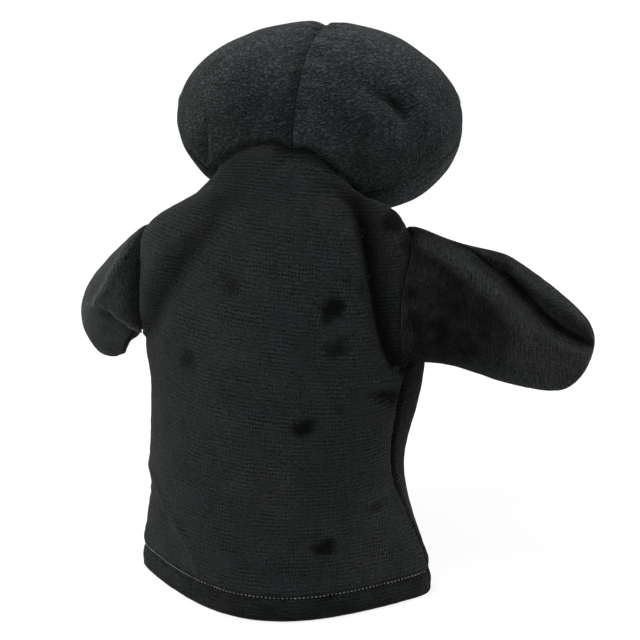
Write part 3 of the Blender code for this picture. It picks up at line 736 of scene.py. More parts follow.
def right_back_bulge(across, rows):
    """Two rolls: the lower one drops into a wide valley, with the upper one behind it."""
    valley = right_valley(rows)
    across = across[None, :]
    crest = np.minimum(valley - 0.17, 0.80)
    climb = np.clip((crest - across) / (crest + 1), 0, 1)
    fall = smooth(0.0, 0.19, across - crest)
    top = 1.0 - 0.10 * smooth(0.6, 1.0, rows)[:, None]
    lower = top * (1 - climb**2.2) ** 0.55
    beyond = top * (1 - fall) + 0.16 * fall * (1 - smooth(valley, 1.0, across))
    lower = np.where(across > crest, beyond, lower)
    low = valley + 0.13 * smooth(0.36, 0.55, rows)[:, None]
    share = np.clip((across - low) / np.maximum(1.0 - low, 1e-6), 0, 1)
    upper = 0.64 * np.clip(1 - np.abs(2 * share - 1) ** 2.2, 0, 1) ** 0.6
    upper = upper * smooth(0.18, 0.34, rows)[:, None]
    belly = 0.16 * np.exp(-(((rows[:, None] - 0.24) / 0.15) ** 2) - ((across + 0.1) / 0.35) ** 2)
    return np.maximum(lower, upper) - belly


# Patches of painted shade on the right arm: place along and across the arm, then half sizes
RIGHT_ARM_SHADE = (
    (0.14, -0.35, 0.10, 0.24),
    (0.03, -0.80, 0.07, 0.30),
    (0.18, 0.12, 0.06, 0.16),
    (0.33, 0.12, 0.07, 0.15),
    (0.36, -0.68, 0.05, 0.18),
)


def right_arm_painted_light(across, rows):
    """Painted light and shade on the right arm: shade over the sleeve and in the valley, painted highlights
    on the crest and the lower edge, and lighter toward the tip.
    """
    valley = right_valley(rows)
    rows = rows[:, None]
    across = across[None, :]
    # Painted shade over the sleeve near the shoulder, lighter toward the tip, and painted light along the
    # lower edge
    dark = 1.02 - 0.92 * smooth(0.40, 0.78, rows)
    dark = dark - 0.35 * smooth(-0.45, -0.85, across) * smooth(0.25, 0.4, rows)
    dark = dark + 0.25 * np.exp(-(((rows - 0.12) / 0.16) ** 2) - ((across + 0.55) / 0.35) ** 2)
    # Patches of painted shade
    for row, place, long, wide in RIGHT_ARM_SHADE:
        dark = dark + 0.4 * np.exp(-(((rows - row) / long) ** 2) - ((across - place) / wide) ** 2)
    # Painted highlight along the crest
    crest = np.minimum(valley - 0.17, 0.80)
    band = bell(across - crest + 0.03, 0.09 + 0.07 * smooth(0.15, 0.45, rows))
    dark = dark - (0.55 + 0.65 * smooth(0.10, 0.34, rows)) * band * smooth(0.02, 0.12, rows)
    # The upper roll is painted in shade, lighter toward its outer edge
    upper = smooth(0.0, 0.12, across - valley)
    dark = dark * (1 - upper) + upper * (0.80 - 0.55 * smooth(0.78, 1.0, across))
    # Painted shade in the valley
    beyond = across - valley - 0.04
    hollow = bell(beyond, np.where(beyond > 0, 0.36, 0.08)) * smooth(0.24, 0.36, rows)
    return np.clip(np.maximum(dark, hollow), -0.7, 1)


# The ridge and the turned edge of the left arm, as the camera sees them: millimetres right and up, then
# the height of the ridge
LEFT_RIDGE = (
    ((-59.5, 146.5, 0.2), (-61.4, 143.2, 1.0), (-63.8, 139.0, 1.3), (-68.2, 131.5, 1.4))
    + ((-72.2, 124.7, 1.4), (-77.4, 117.4, 1.1), (-79.4, 113.4, 0.6))
)
LEFT_LIP = (
    ((-84.5, 114.5), (-80.6, 113.8), (-76.4, 113.4), (-72.7, 111.3))
    + ((-69.7, 108.4), (-65.9, 106.3), (-60.5, 103.3))
)
SEEN_RIGHT = np.array([-0.9703, -0.2419, 0.0])
SEEN_UP = np.array([0.0827, -0.3319, 0.9397])


def left_folds(outer, run, free):
    """The ridge and the turned edge of the left arm: how far they stand out, and the painted light and shade
    on the arm: shade near the armhole and under the turned edge, highlights along the ridge and the edge.
    """
    seen = np.stack([outer @ SEEN_RIGHT, outer @ SEEN_UP], -1) * 1000
    distance, _, _, height = along_line(seen, LEFT_RIDGE)
    ridge = 0.0014 * height[..., 0] * bell(distance, 1.7) * free
    lit = bell(distance, 1.15) * np.minimum(height[..., 0], 1)
    distance, offset, _, _ = along_line(seen, LEFT_LIP)
    below = -offset[..., 1]
    lip = np.where(below > 0, bell(below, 6.0), 0.0)
    roll = np.where(below <= 0, bell(distance, 4.5), 0.0)
    held = smooth(0.0005, 0.004, run)
    inward = smooth(-83.0, -75.0, seen[..., 0])
    turned = (0.0012 * roll * inward - 0.0044 * lip * smooth(0.0, 1.0, below) * inward) * held
    # Painted shadow under the turned edge
    under = bell(below - 1.0, 4.4) * smooth(0.2, 1.0, below)
    under = under * smooth(-81.0, -73.0, seen[..., 0])
    # Painted shade near the armhole
    dark = np.maximum(-0.05, 0.76 * bell(run, 0.0085))
    dark = np.where(below > 0.0, 1.40 * under - 0.50, dark)
    # Painted highlights along the ridge and along the turned edge
    dark = dark - 2.0 * lit - 1.8 * bell(distance, 1.0) * (below <= 0)
    return ridge, turned, dark


def make_arm(name, node, side, path, armhole, back, seed, materials):
    row_count = 112
    column_count = 76
    widest = math.radians(84)
    rows = np.linspace(0, 1, row_count + 1)
    across = np.sin(np.linspace(-1, 1, column_count + 1) * widest) / math.sin(widest)
    centre, along, width, deep, half = arm_frames(path, rows)
    edge = CLOTH + SEAM_GAP / 2
    round_edge = np.clip(1 - across**2, 0, 1)[None, :]
    swell = ARM_HALF_THICKNESS * np.clip(1 - rows**4, 0, 1) ** 0.5
    if back > 0 and side < 0:
        bulge = swell[:, None] * np.maximum(right_back_bulge(across, rows), 0.0) * 1.08
    else:
        bulge = swell[:, None] * round_edge**0.7 * (0.9 if side < 0 else 0.96 if back > 0 else 0.38)
    rounding = (1 - np.abs(across)[None, :] ** 14) ** 0.5
    outer_height = SEAM_GAP / 2 + (edge * 0.9 + bulge) * rounding
    outer_height = np.maximum(outer_height, SEAM_GAP / 2)
    inner_height = np.maximum(outer_height - CLOTH * 0.9, SEAM_GAP / 2)
    round_off = ARM_TIP_ROUND * half[-1] * rows**1.5
    middle = centre[:, None, :] + width[:, None, :] * (half[:, None] * across[None, :])[..., None]
    drawn_in = round_off[:, None] * (1 - np.sqrt(1 - 0.95 * across**2))[None, :]
    middle = middle - along[:, None, :] * drawn_in[..., None]
    if side < 0:
        edges = ((RIGHT_HIGH, smooth(right_valley(rows) - 0.1, 1.0, across[None, :])),)
    else:
        edges = (
            (LEFT_HIGH, smooth(0.0, 1.0, across)[None, :]),
            (LEFT_LOW, smooth(0.0, 1.0, -across)[None, :]),
        )
    for table, share in edges:
        table = np.array(table)
        lift = curve(table[:, 0], table[:, 1:] / 1000, rows)
        middle = middle + width[:, None, :] * (lift * share)[..., None]
    outer = middle + back * deep[:, None, :] * outer_height[..., None]
    inner = middle + back * deep[:, None, :] * inner_height[..., None]
    levels = armhole[0] + (armhole[1] - armhole[0]) * (across + 1) / 2
    for grid, trim in ((outer, 0.0), (inner, CLOTH)):
        reach = np.maximum(lens(levels, armhole) - trim, SEAM_GAP / 2)
        seam = np.zeros_like(levels) if side > 0 else right_seam(levels)
        angles = beside(seam, levels, back * reach)
        normals = tunic_normal(angles, levels)
        base = tunic_point(angles, levels) - normals * ARM_SUNK
        share = np.clip(rows / ARM_JOIN, 0, 1)[:, None, None]
        swelling = ARM_RISE * (1 - (0.55 if side > 0 else 0.25) * smooth(0.2, 1.0, across))
        base = base[None] + normals[None] * swelling[None, :, None] * share
        share = share * share * (3 - 2 * share)
        grid[:] = base * (1 - share) + grid * share
    outward = back * np.repeat(deep[:, None, :], column_count + 1, axis=1)
    facing = surface(outer, outward)
    run = arcs(outer, 0)
    spread = arcs(outer, 1)
    flow = np.stack([run, spread, np.full_like(run, 0.05 * seed)], -1)
    near = np.minimum(spread, spread[:, -1:] - spread)
    tip = run[-1:] - run
    free = smooth(0.0015, 0.008, near) * smooth(0.001, 0.008, run) * smooth(0.001, 0.007, tip)
    rise = (0.0008 * noise(outer, 0.018, seed) + 0.0004 * noise(outer, 0.008, seed + 1)) * free
    rise = rise - 0.0004 * bell(run, 0.0010)
    ruck = noise(flow, (0.0026, 0.012, 1.0), seed + 2) * bell(near, 0.006)
    rise = rise + 0.00025 * ruck * smooth(0.0, 0.004, near)
    gather = noise(flow, (0.012, 0.0034, 1.0), seed + 3) * bell(run, 0.008)
    gather = gather * smooth(0.0, 0.002, run)
    rise = rise + 0.0004 * gather
    dark = np.full(run.shape, 0.35)
    if side < 0 and back > 0:
        # Painted light and shade on the back of the right arm
        dark = right_arm_painted_light(across, rows)
    if side > 0 and back > 0:
        # The left arm's ridge and turned edge, with their painted light and shade
        ridge, turned, dark = left_folds(outer, run, free)
        rise = rise + ridge + turned
    outer = outer + facing * rise[..., None]
    inner = inner + facing * np.minimum(rise, 0.0)[..., None]
    dark = dark * (0.85 + 0.20 * noise(outer, 0.0042, seed + 4)) + 0.12 * noise(outer, 0.0075, seed + 5)
    cloth = np.stack([spread, run, flow[..., 2]], -1)
    inner = inner[::COARSE, ::COARSE]
    piece = add_shell(name, outer, inner, cloth, np.clip(dark, -1, 1), materials)
    turn_out(piece, outer, outward)
    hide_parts(node)


def turn_out(piece, outer, outward):
    """Turn all faces over if the fine side of the shell faces inward."""
    normal = np.cross(outer[1:, :-1] - outer[:-1, :-1], outer[:-1, 1:] - outer[:-1, :-1])
    if np.sum(normal * outward[:-1, :-1]) > 0:
        piece.data.flip_normals()


# Head panels
def ball(steps_count):
    steps = np.tan(np.linspace(-math.pi / 4, math.pi / 4, steps_count + 1))
    points = []
    faces = []
    for axis in range(3):
        for side in (-1.0, 1.0):
            u, v = np.meshgrid(steps, steps, indexing="ij")
            grid = np.zeros((steps_count + 1, steps_count + 1, 3))
            grid[..., axis] = side
            grid[..., (axis + 1) % 3] = u
            grid[..., (axis + 2) % 3] = v
            first = sum(len(p) for p in points)
            number = np.arange((steps_count + 1) ** 2).reshape(steps_count + 1, steps_count + 1) + first
            points.append(unit(grid.reshape(-1, 3)))
            faces.append(quads(number)[:, ::-1] if side < 0 else quads(number))
    points = np.concatenate(points)
    faces = np.concatenate(faces)
    keys = np.round(points * 1e6).astype(np.int64)
    _, index, back = np.unique(keys, axis=0, return_index=True, return_inverse=True)
    faces = back.reshape(-1)[faces]
    return points[index], np.concatenate([faces[:, [0, 1, 2]], faces[:, [0, 2, 3]]])


def clip(points, triangles, values):
    """The part of a patch where the values are above zero."""
    values = np.where(np.abs(values) > 1e-5, values, 1e-5)
    above = values[triangles] > 0
    count = above.sum(axis=1)
    kept = [tuple(t) for t in triangles[count == 3]]
    points = list(points)
    cuts = {}

    def cut(a, b):
        key = (min(a, b), max(a, b))
        if key not in cuts:
            share = values[a] / (values[a] - values[b])
            cuts[key] = len(points)
            points.append(points[a] + (points[b] - points[a]) * share)
        return cuts[key]

    for corners in triangles[(count > 0) & (count < 3)]:
        shape = []
        for k in range(3):
            a = int(corners[k])
            b = int(corners[(k + 1) % 3])
            if values[a] > 0:
                shape.append(a)
            if (values[a] > 0) != (values[b] > 0):
                shape.append(cut(a, b))
        for k in range(1, len(shape) - 1):
            kept.append((shape[0], shape[k], shape[k + 1]))
    kept = np.array(kept)
    used = np.unique(kept)
    number = np.zeros(len(points), np.int64)
    number[used] = np.arange(len(used))
    return np.array(points)[used], number[kept]


# Folds of the head: points X, Y, Z and depth in millimetres, then the width
HEAD_FOLDS = (
    # The hollow at the right of the head
    (
        ((-31, -1, 217, 0.6), (-38, -2, 213.5, 2.0), (-45, -4, 209.5, 3.8), (-48.5, -4, 205, 3.0))
        + ((-50, -4, 200, 0.6),),
        4.2,
    ),
    (((-40, 3, 204, -0.5), (-44, 1, 198, -1.0), (-47, -2, 192, -0.5)), 6.0),
    # The crease above the left end of the neck
    (((29.5, 8, 199, 0.2), (31.0, 7.1, 192.2, 1.8), (31.2, 7.1, 184, 2.6), (31.2, 7.1, 176, 2.2)), 1.9),
    (((27.0, 8, 194, -0.4), (27.6, 7.1, 186, -0.8), (27.8, 7.1, 178, -0.6)), 2.0),
    (((-22, 8, 222, 0.2), (-30, 4, 219, 0.6), (-38, 0, 216, 0.4)), 4.0),
    (((8, 12, 208, 0.3), (17, 12, 203, 0.8), (25, 10, 197, 0.5)), 6.0),
)


def head_relief(points, cuts):
    """How far the cloth of the head stands out: slack, folds, rolled-in seams and their gathers."""
    rise = 0.0007 * noise(points, 0.024, 31) + 0.00035 * noise(points, 0.009, 32)
    for line, width in HEAD_FOLDS:
        distance, _, _, depth = along_line(points * 1000, line)
        rise = rise - 0.001 * depth[..., 0] * bell(distance, width)
    near = np.full(len(points), 1.0)
    for cut in cuts:
        near = np.minimum(near, np.abs(cut(points)))
    rise = rise * smooth(0.0005, 0.006, near)
    middle = np.abs(points[..., 0] - CENTRE[0])
    gather = noise(points, (0.012, 0.0030, 0.0030), 33)
    reach = np.where(points[..., 0] < CENTRE[0], 0.0105, 0.0055)
    rise = rise + 0.0009 * gather * bell(middle, reach) * smooth(0.0, 0.0015, middle)
    step = np.where(points[..., 0] < CENTRE[0], 0.0008, -0.0002) * bell(middle, 0.0045)
    rise = rise + step * smooth(0.0, 0.0012, middle) * smooth(0.200, 0.212, points[..., 2])
    wrinkle = noise(points, (0.0034, 0.0034, 0.012), 34)
    for depth in (neck_depth(points), face_depth(points)):
        rise = rise + 0.0003 * wrinkle * bell(np.abs(depth), 0.006)
    pull = 0.0012 - 0.0008 * bell(middle, 0.003)
    rise = rise - pull * bell(near, 0.0014)
    return rise


def head_tone_and_painted_light(points):
    """Random patches of darker pile on the head, with painted light and shade: shade in the hollow, the
    creases, left of the middle seam and along the neck, and painted light right of the seam, on the top and
    on the face below its seam.
    """
    dark = 0.17 + 0.30 * noise(points, 0.011, 35) + 0.18 * noise(points, 0.0050, 36)
    # Painted shade in the hollow and the creases
    for (line, width), strength in zip(HEAD_FOLDS, (1.0, 0.0, 0.6, 0.0, 0.15, 0.35)):
        distance, _, _, depth = along_line(points * 1000, line)
        deepest = max(row[3] for row in line)
        if strength > 0:
            near = bell(distance, width * 0.8) * np.clip(depth[..., 0] / deepest, 0, 1)
            dark = np.maximum(dark, strength * near)
    left = points[..., 0] - CENTRE[0]
    # Painted shade left of the middle seam
    dark = np.maximum(dark, 0.55 * bell(left, 0.0060) * (left > 0))
    # Painted light right of the middle seam
    dark = dark - 0.35 * bell(left + 0.0060, 0.0050) * (left < 0)
    # Painted light on the top of the head
    dark = dark - 0.25 * smooth(0.216, 0.228, points[..., 2])
    neck = np.abs(neck_depth(points))
    # Painted shade along the neck
    dark = np.maximum(dark, 0.8 * bell(neck, 0.0022))
    # Painted light on the right of the face below its seam
    below_seam = smooth(0.0, 0.0016, face_depth(points)) * smooth(-0.010, -0.030, points[..., 0])
    dark = dark - 0.75 * below_seam
    return np.clip(dark, -0.6, 1)


def head_panel(name, node, cuts, materials, seed):
    directions, triangles = ball(84)
    points = head_point(directions)
    for cut in cuts:
        points, triangles = clip(points, triangles, cut(points))
    normals = head_normal(unit(points - CENTRE))
    rise = head_relief(points, cuts)
    outer = points + normals * rise[:, None]
    inner = points - normals * (CLOTH - 0.0001 - np.minimum(rise + 0.0008, 0.0))[:, None]
    count = len(points)
    faces = [tuple(t) for t in triangles]
    directed = set()
    for a, b, c in faces:
        directed.update(((a, b), (b, c), (c, a)))
    for a, b in directed:
        if (b, a) not in directed:
            faces.append((b, a, a + count, b + count))
    inner_from = len(faces)
    faces += [(a + count, c + count, b + count) for a, b, c in triangles.tolist()]
    cloth = np.stack([points[:, 0], points[:, 2], points[:, 1] + 0.02 * seed], -1)
    solid = np.concatenate([outer, inner])
    cloth = np.concatenate([cloth, cloth])
    dark = np.concatenate([head_tone_and_painted_light(points), np.zeros(count)])
    piece = add_piece(name, solid, faces, materials, inner_from, cloth, dark)
    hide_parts(node)


def circle(count):
    around = np.linspace(0, 2 * math.pi, count, endpoint=False)
    return np.stack([np.cos(around), np.sin(around), np.zeros_like(around)], -1)


def foot(points):
    """The height at which the pocket ends, below each point, in the underside of the stuffing."""
    return (FILLING_SINK - neck_depth(points)) / -NECK_NORMAL[2]


def dome(flat, base, radius, roof, turn):
    """A ring of the rounded end of the pocket, turn degrees up its curve."""
    ring = base + flat * radius * math.cos(math.radians(turn))
    ring[:, 2] = roof - POCKET_ROUND + POCKET_ROUND * math.sin(math.radians(turn))
    return ring


def closed_rings(rings, first, last):
    columns = len(rings[0])
    points = np.concatenate([np.array([first]), *rings, np.array([last])])
    final = len(points) - 1
    faces = []
    for c in range(columns):
        n = (c + 1) % columns
        faces.append((0, 1 + c, 1 + n))
        for r in range(len(rings) - 1):
            a = 1 + r * columns
            faces.append((a + c, a + columns + c, a + columns + n, a + n))
        a = 1 + (len(rings) - 1) * columns
        faces.append((a + c, final, a + n))
    return points, faces


def make_filling(material):
    """Stuffing: a lumpy mass of fibre that fills the head round the pocket."""
    skin = CLOTH + SEAM_GAP + 0.0012
    start = np.array((POCKET_PLACE[0], POCKET_PLACE[1], 0.2000))
    flat = circle(120)
    bore = POCKET_RADIUS + LINING_CLOTH + SEAM_GAP

    def limit(p):
        away = p - CENTRE
        inside = np.linalg.norm(away, axis=-1) / (head_reach(unit(away)) - skin)
        return np.maximum(inside, 1 + (FILLING_SINK - neck_depth(p)) / 0.03)

    def hit(directions):
        near = np.zeros(directions.shape[:-1])
        far = np.full(directions.shape[:-1], 0.12)
        for _ in range(26):
            middle = (near + far) / 2
            outside = limit(start + directions * middle[..., None]) > 1
            near = np.where(outside, near, middle)
            far = np.where(outside, middle, far)
        place = start + directions * near[..., None]
        lumps = 0.5 + 0.5 * noise(place, 0.007, 41) + 0.3 * noise(place, 0.0030, 42)
        return place - directions * (0.0012 * np.clip(lumps, 0, 1))[..., None]

    base = np.array([start[0], start[1], 0.0])
    low_bore = base + flat * bore
    low_bore[:, 2] = foot(low_bore)
    rings = []
    for polar in np.radians(np.linspace(3, 128, 56)):
        rings.append(hit(flat * math.sin(polar) + np.array([0, 0, 1.0]) * math.cos(polar)))
    last = unit(low_bore - start)
    side = unit(rings[-1] - start)
    for share in (0.2, 0.4, 0.6, 0.8):
        rings.append(hit(unit((1 - share) * side + share * last)))
    rings.append(low_bore)
    roof = POCKET_TOP + LINING_CLOTH + SEAM_GAP
    for share in np.linspace(0.1, 1.0, 8):
        ring = low_bore.copy()
        ring[:, 2] = low_bore[:, 2] + ((roof - POCKET_ROUND) - low_bore[:, 2]) * share
        rings.append(ring)
    rings += [dome(flat, base, bore, roof, turn) for turn in (20, 40, 60, 78)]
    top = hit(np.array([[0.0, 0.0, 1.0]]))[0]
    points, faces = closed_rings(rings, top, np.array([start[0], start[1], roof]))
    piece = add_piece("stuffing", points, faces, [material])
    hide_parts("head_filling")


def make_finger_tube(material):
    flat = circle(96)
    base = np.array([POCKET_PLACE[0], POCKET_PLACE[1], 0.0])

    def ring_at(radius, roof, share):
        ring = base + flat * radius
        low = foot(ring)
        ring[:, 2] = low + (roof - POCKET_ROUND - low) * share
        crease = 0.00035 * noise(ring * np.array([1, 1, 0.35]), 0.0045, 51) - 0.0002
        return ring + flat * (crease * smooth(0.0, 0.1, np.array(share)))[:, None]

    wide = POCKET_RADIUS + LINING_CLOTH - 0.0001
    high = POCKET_TOP + LINING_CLOTH
    shares = np.linspace(1, 0, 28)
    rings = [dome(flat, base, wide, high, turn) for turn in (80, 60, 40, 20)]
    rings += [ring_at(wide, high, share) for share in shares]
    lip = ring_at((wide + POCKET_RADIUS) / 2, high, 0.0)
    lip[:, 2] -= 0.0005
    rings.append(lip)
    rings += [ring_at(POCKET_RADIUS, POCKET_TOP, share) for share in shares[::-1]]
    rings += [dome(flat, base, POCKET_RADIUS, POCKET_TOP, turn) for turn in (20, 40, 60, 80)]
    first = np.array([base[0], base[1], high])
    last = np.array([base[0], base[1], POCKET_TOP])
    points, faces = closed_rings(rings, first, last)
    piece = add_piece("pocket_lining", points, faces, [material])
    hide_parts("finger_tube")


def make_eye(name, node, side, material):
    forward = EYE_FORWARD[0] if side > 0 else EYE_FORWARD[1]
    turn = math.radians(forward) - side * math.radians(HEAD_TURN)
    facing = unit(np.array([side * math.cos(turn), -math.sin(turn), math.tan(math.radians(EYE_LIFT))]))
    middle = head_point(facing[None])[0]
    out = head_normal(facing[None])[0]
    across = unit(np.cross(np.array([0.0, 0.0, 1.0]), out))
    up = np.cross(out, across)
    round_about = circle(56)
    flat = round_about[:, :1] * across + round_about[:, 1:2] * up
    rings = []
    for radius in (0.5, 0.98):
        ring = middle + EYE_RADIUS * radius * flat
        towards = unit(ring - CENTRE)
        rings.append(CENTRE + towards * (head_reach(towards) - 0.0004)[:, None])
    rim = middle + out * 0.0011
    for height, wide in ((-0.35, 0.995), (0.0, 1.0), (0.10, 0.995)):
        rings.append(rim + out * 0.001 * height + EYE_RADIUS * wide * flat)
    for height in np.linspace(8.0, 84.0, 14):
        reach = EYE_RADIUS * 0.99 * math.cos(math.radians(height))
        rise = 0.0001 + (EYE_DOME - 0.0012) * math.sin(math.radians(height))
        rings.append(rim + reach * flat + out * rise)
    points, faces = closed_rings(rings, middle - out * 0.0004, middle + out * EYE_DOME)
    piece = add_piece(name, points, faces, [material])
    piece.data.flip_normals()
    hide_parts(node)


# Materials
class Nodes:
    """Short calls for node trees."""

    def __init__(self, owner, shader="Principled BSDF"):
        owner.use_nodes = True
        self.owner = owner
        self.tree = owner.node_tree
        self.shader = self.tree.nodes[shader]

    def put(self, value, target):
        if hasattr(value, "is_linked"):
            self.tree.links.new(value, target)
        else:
            target.default_value = value

    def give(self, name, value):
        self.put(value, self.shader.inputs[name])

    def node(self, kind, inputs, output=0, **settings):
        made = self.tree.nodes.new("ShaderNode" + kind)
        for name, value in settings.items():
            setattr(made, name, value)
        for name, value in inputs.items():
            self.put(value, made.inputs[name])
        return made.outputs[output]

    def math(self, operation, first, second=0.0):
        return self.node("Math", {0: first, 1: second}, operation=operation)

    def times(self, first, second):
        return self.math("MULTIPLY", first, second)

    def plus(self, first, second):
        return self.math("ADD", first, second)

    def sine(self, vector, axis, period):
        """A wave along one axis of a vector."""
        along = self.node("SeparateXYZ", {0: vector}, axis)
        return self.math("SINE", self.times(along, 2 * math.pi / period))

    def vector(self, operation, first, second):
        return self.node("VectorMath", {0: first, 1: second}, operation=operation)

    def scaled(self, vector, factor):
        return self.node("VectorMath", {0: vector, "Scale": factor}, operation="SCALE")

    def noise(self, vector, sizes, detail=1.0, roughness=0.5, output="Fac"):
        """Noise with lumps of these sizes, in millimetres, along the three axes."""
        place = self.vector("MULTIPLY", vector, tuple(1000.0 / size for size in sizes))
        inputs = {"Scale": 1.0, "Detail": detail, "Roughness": roughness, "Vector": place}
        return self.node("TexNoise", inputs, output)

    def remap(self, value, low, high, first, last):
        inputs = {"From Min": low, "From Max": high, "To Min": first, "To Max": last, "Value": value}
        return self.node("MapRange", inputs, "Result")

    def mix(self, share, first, second):
        return self.node("Mix", {"Factor": share, "A": first, "B": second}, "Result", data_type="RGBA")

    def bump(self, height, distance, strength=1.0):
        return self.node("Bump", {"Strength": strength, "Distance": distance, "Height": height}, "Normal")

    def attribute(self, name, output):
        return self.node("Attribute", {}, output, attribute_name=name)

    def seen(self):
        """1 for what is seen by the camera, in a mirror or through glass, and 0 for what only lights."""
        path = self.tree.nodes.new("ShaderNodeLightPath").outputs
        share = self.math("MAXIMUM", path["Is Camera Ray"], path["Is Glossy Ray"])
        return self.math("MAXIMUM", share, path["Is Transmission Ray"])


def new_material(name):
    return Nodes(bpy.data.materials.new(name))


def plush(name, base, rows, squiggle, contrast, wavy=False):
    """Short pile on a fine knit: grain, broken rows, patches of flattened pile and painted light and shade
    from the attribute, and a soft edge glow.
    """
    n = new_material(name)
    cloth = n.attribute("cloth", "Vector")
    nap_and_painted_light = n.attribute("nap_and_painted_light", "Fac")
    warp = n.noise(cloth, (3.4, 2.6, 3.4), output="Color")
    bent = n.vector("ADD", cloth, n.vector("MULTIPLY", warp, (0.0016, 0.0016, 0.0)))
    amount = n.remap(n.noise(cloth, (11.0, 7.0, 11.0)), 0.38, 0.66, 0.25, 1.0)
    waves = n.plus(n.sine(bent, 1, KNIT_ROW), n.times(n.sine(bent, 0, KNIT_CELL), 0.6))
    row = n.times(n.times(waves, 0.35), amount)
    grain = n.noise(bent, (0.85, 0.75, 0.85), 2.0, 0.62)
    if wavy:
        crossing = n.math("SUBTRACT", n.noise(bent, (2.5, 1.0, 2.5)), 0.5)
        lines = n.remap(n.math("ABSOLUTE", crossing), 0.0, 0.19, 0.0, 1.1)
    else:
        lines = n.noise(bent, (2.3, 0.85, 2.3), 2.0, 0.55)
    height = n.plus(n.plus(n.times(row, rows), n.times(grain, 1.25)), n.times(lines, squiggle))
    mottle = n.noise(cloth, (9.0, 9.0, 9.0), 2.0, 0.6)
    broad = n.noise(cloth, (38.0, 38.0, 38.0))
    middle = 0.625 + 0.5 * squiggle
    tone = n.remap(height, middle - contrast, middle + contrast, 0.25, 1.85)
    tone = n.times(tone, n.remap(mottle, 0.3, 0.7, 0.86, 1.14))
    tone = n.times(tone, n.remap(broad, 0.3, 0.7, 0.9, 1.1))
    # Painted light and shade: the attribute darkens the colour down to a tenth in painted shade and
    # flattened patches, and nearly doubles it in painted highlights
    tone = n.times(tone, n.remap(nap_and_painted_light, -1.0, 1.0, 1.967, 0.10))
    cool = tuple(c * k for c, k in zip(base, (0.97, 1.0, 1.03))) + (1.0,)
    warm = tuple(c * k for c, k in zip(base, (1.03, 1.0, 0.98))) + (1.0,)
    tint = n.mix(n.remap(broad, 0.42, 0.58, 0.0, 1.0), cool, warm)
    n.give("Base Color", n.scaled(tint, tone))
    n.give("Roughness", n.remap(height, middle - contrast, middle + contrast, 0.95, 0.8))
    n.give("Normal", n.bump(height, 0.0010))
    n.give("Specular IOR Level", 0.05)
    n.give("Sheen Weight", 0.055)
    n.give("Sheen Roughness", 0.25)
    n.give("Sheen Tint", (0.92, 1.0, 0.98, 1.0))
    return n.owner


def knit_back(name, base):
    """The plain back of the cloth: fine ribs of knit."""
    n = new_material(name)
    cloth = n.attribute("cloth", "Vector")
    ribs = n.plus(n.times(n.sine(cloth, 0, 0.0011), 0.4), n.times(n.sine(cloth, 1, 0.0009), 0.25))
    height = n.plus(ribs, n.noise(cloth, (0.6, 0.6, 0.6)))
    n.give("Base Color", n.scaled(base, n.remap(height, 0.0, 1.1, 0.7, 1.3)))
    n.give("Normal", n.bump(height, 0.0002, 0.8))
    n.give("Roughness", 0.9)
    n.give("Specular IOR Level", 0.12)
    n.give("Sheen Weight", 0.05)
    return n.owner


def thread_material():
    n = new_material("hem_thread_grey")
    place = n.node("TexCoord", {}, "Object")
    fibre = n.noise(place, (0.5, 0.5, 0.14), 2.0, 0.6)
    share = n.remap(n.noise(place, (2.6, 2.6, 9.0)), 0.35, 0.65, 0.0, 1.0)
    n.give("Base Color", n.mix(share, (0.13, 0.14, 0.13, 1), (0.30, 0.31, 0.29, 1)))
    n.give("Normal", n.bump(fibre, 0.0001, 0.6))
    n.give("Roughness", 0.6)
    return n.owner


def fibre_material():
    n = new_material("stuffing_fibre")
    place = n.node("TexCoord", {}, "Object")
    strands = n.noise(place, (0.4, 2.5, 0.4), 3.0, 0.6)
    share = n.remap(n.noise(place, (6.0, 6.0, 6.0), 2.0), 0.3, 0.7, 0.0, 1.0)
    n.give("Base Color", n.mix(share, (0.62, 0.62, 0.60, 1), (0.80, 0.80, 0.78, 1)))
    n.give("Normal", n.bump(strands, 0.0006, 0.8))
    n.give("Roughness", 0.95)
    n.give("Specular IOR Level", 0.2)
    return n.owner


def lining_material():
    n = new_material("pocket_cloth")
    place = n.node("TexCoord", {}, "Object")
    weave = n.noise(place, (0.35, 0.35, 0.9))
    broad = n.noise(place, (9.0, 9.0, 9.0))
    share = n.times(n.remap(weave, 0.3, 0.7, 0.2, 1.0), n.remap(broad, 0.3, 0.7, 0.7, 1.0))
    n.give("Base Color", n.mix(share, (0.012, 0.013, 0.014, 1), (0.026, 0.027, 0.028, 1)))
    n.give("Normal", n.bump(weave, 0.00015, 0.8))
    n.give("Roughness", 0.85)
    n.give("Specular IOR Level", 0.15)
    return n.owner


def button_material():
    n = new_material("eye_plastic")
    place = n.node("TexCoord", {}, "Object")
    cloud = n.noise(place, (3.0, 3.0, 3.0), 2.0)
    scuff = n.noise(place, (0.5, 0.5, 0.5), 2.0, 0.6)
    n.give("Base Color", n.mix(cloud, (0.006, 0.006, 0.007, 1), (0.013, 0.013, 0.014, 1)))
    n.give("Roughness", n.remap(scuff, 0.3, 0.7, 0.09, 0.20))
    n.give("Normal", n.bump(scuff, 0.00001, 0.3))
    return n.owner


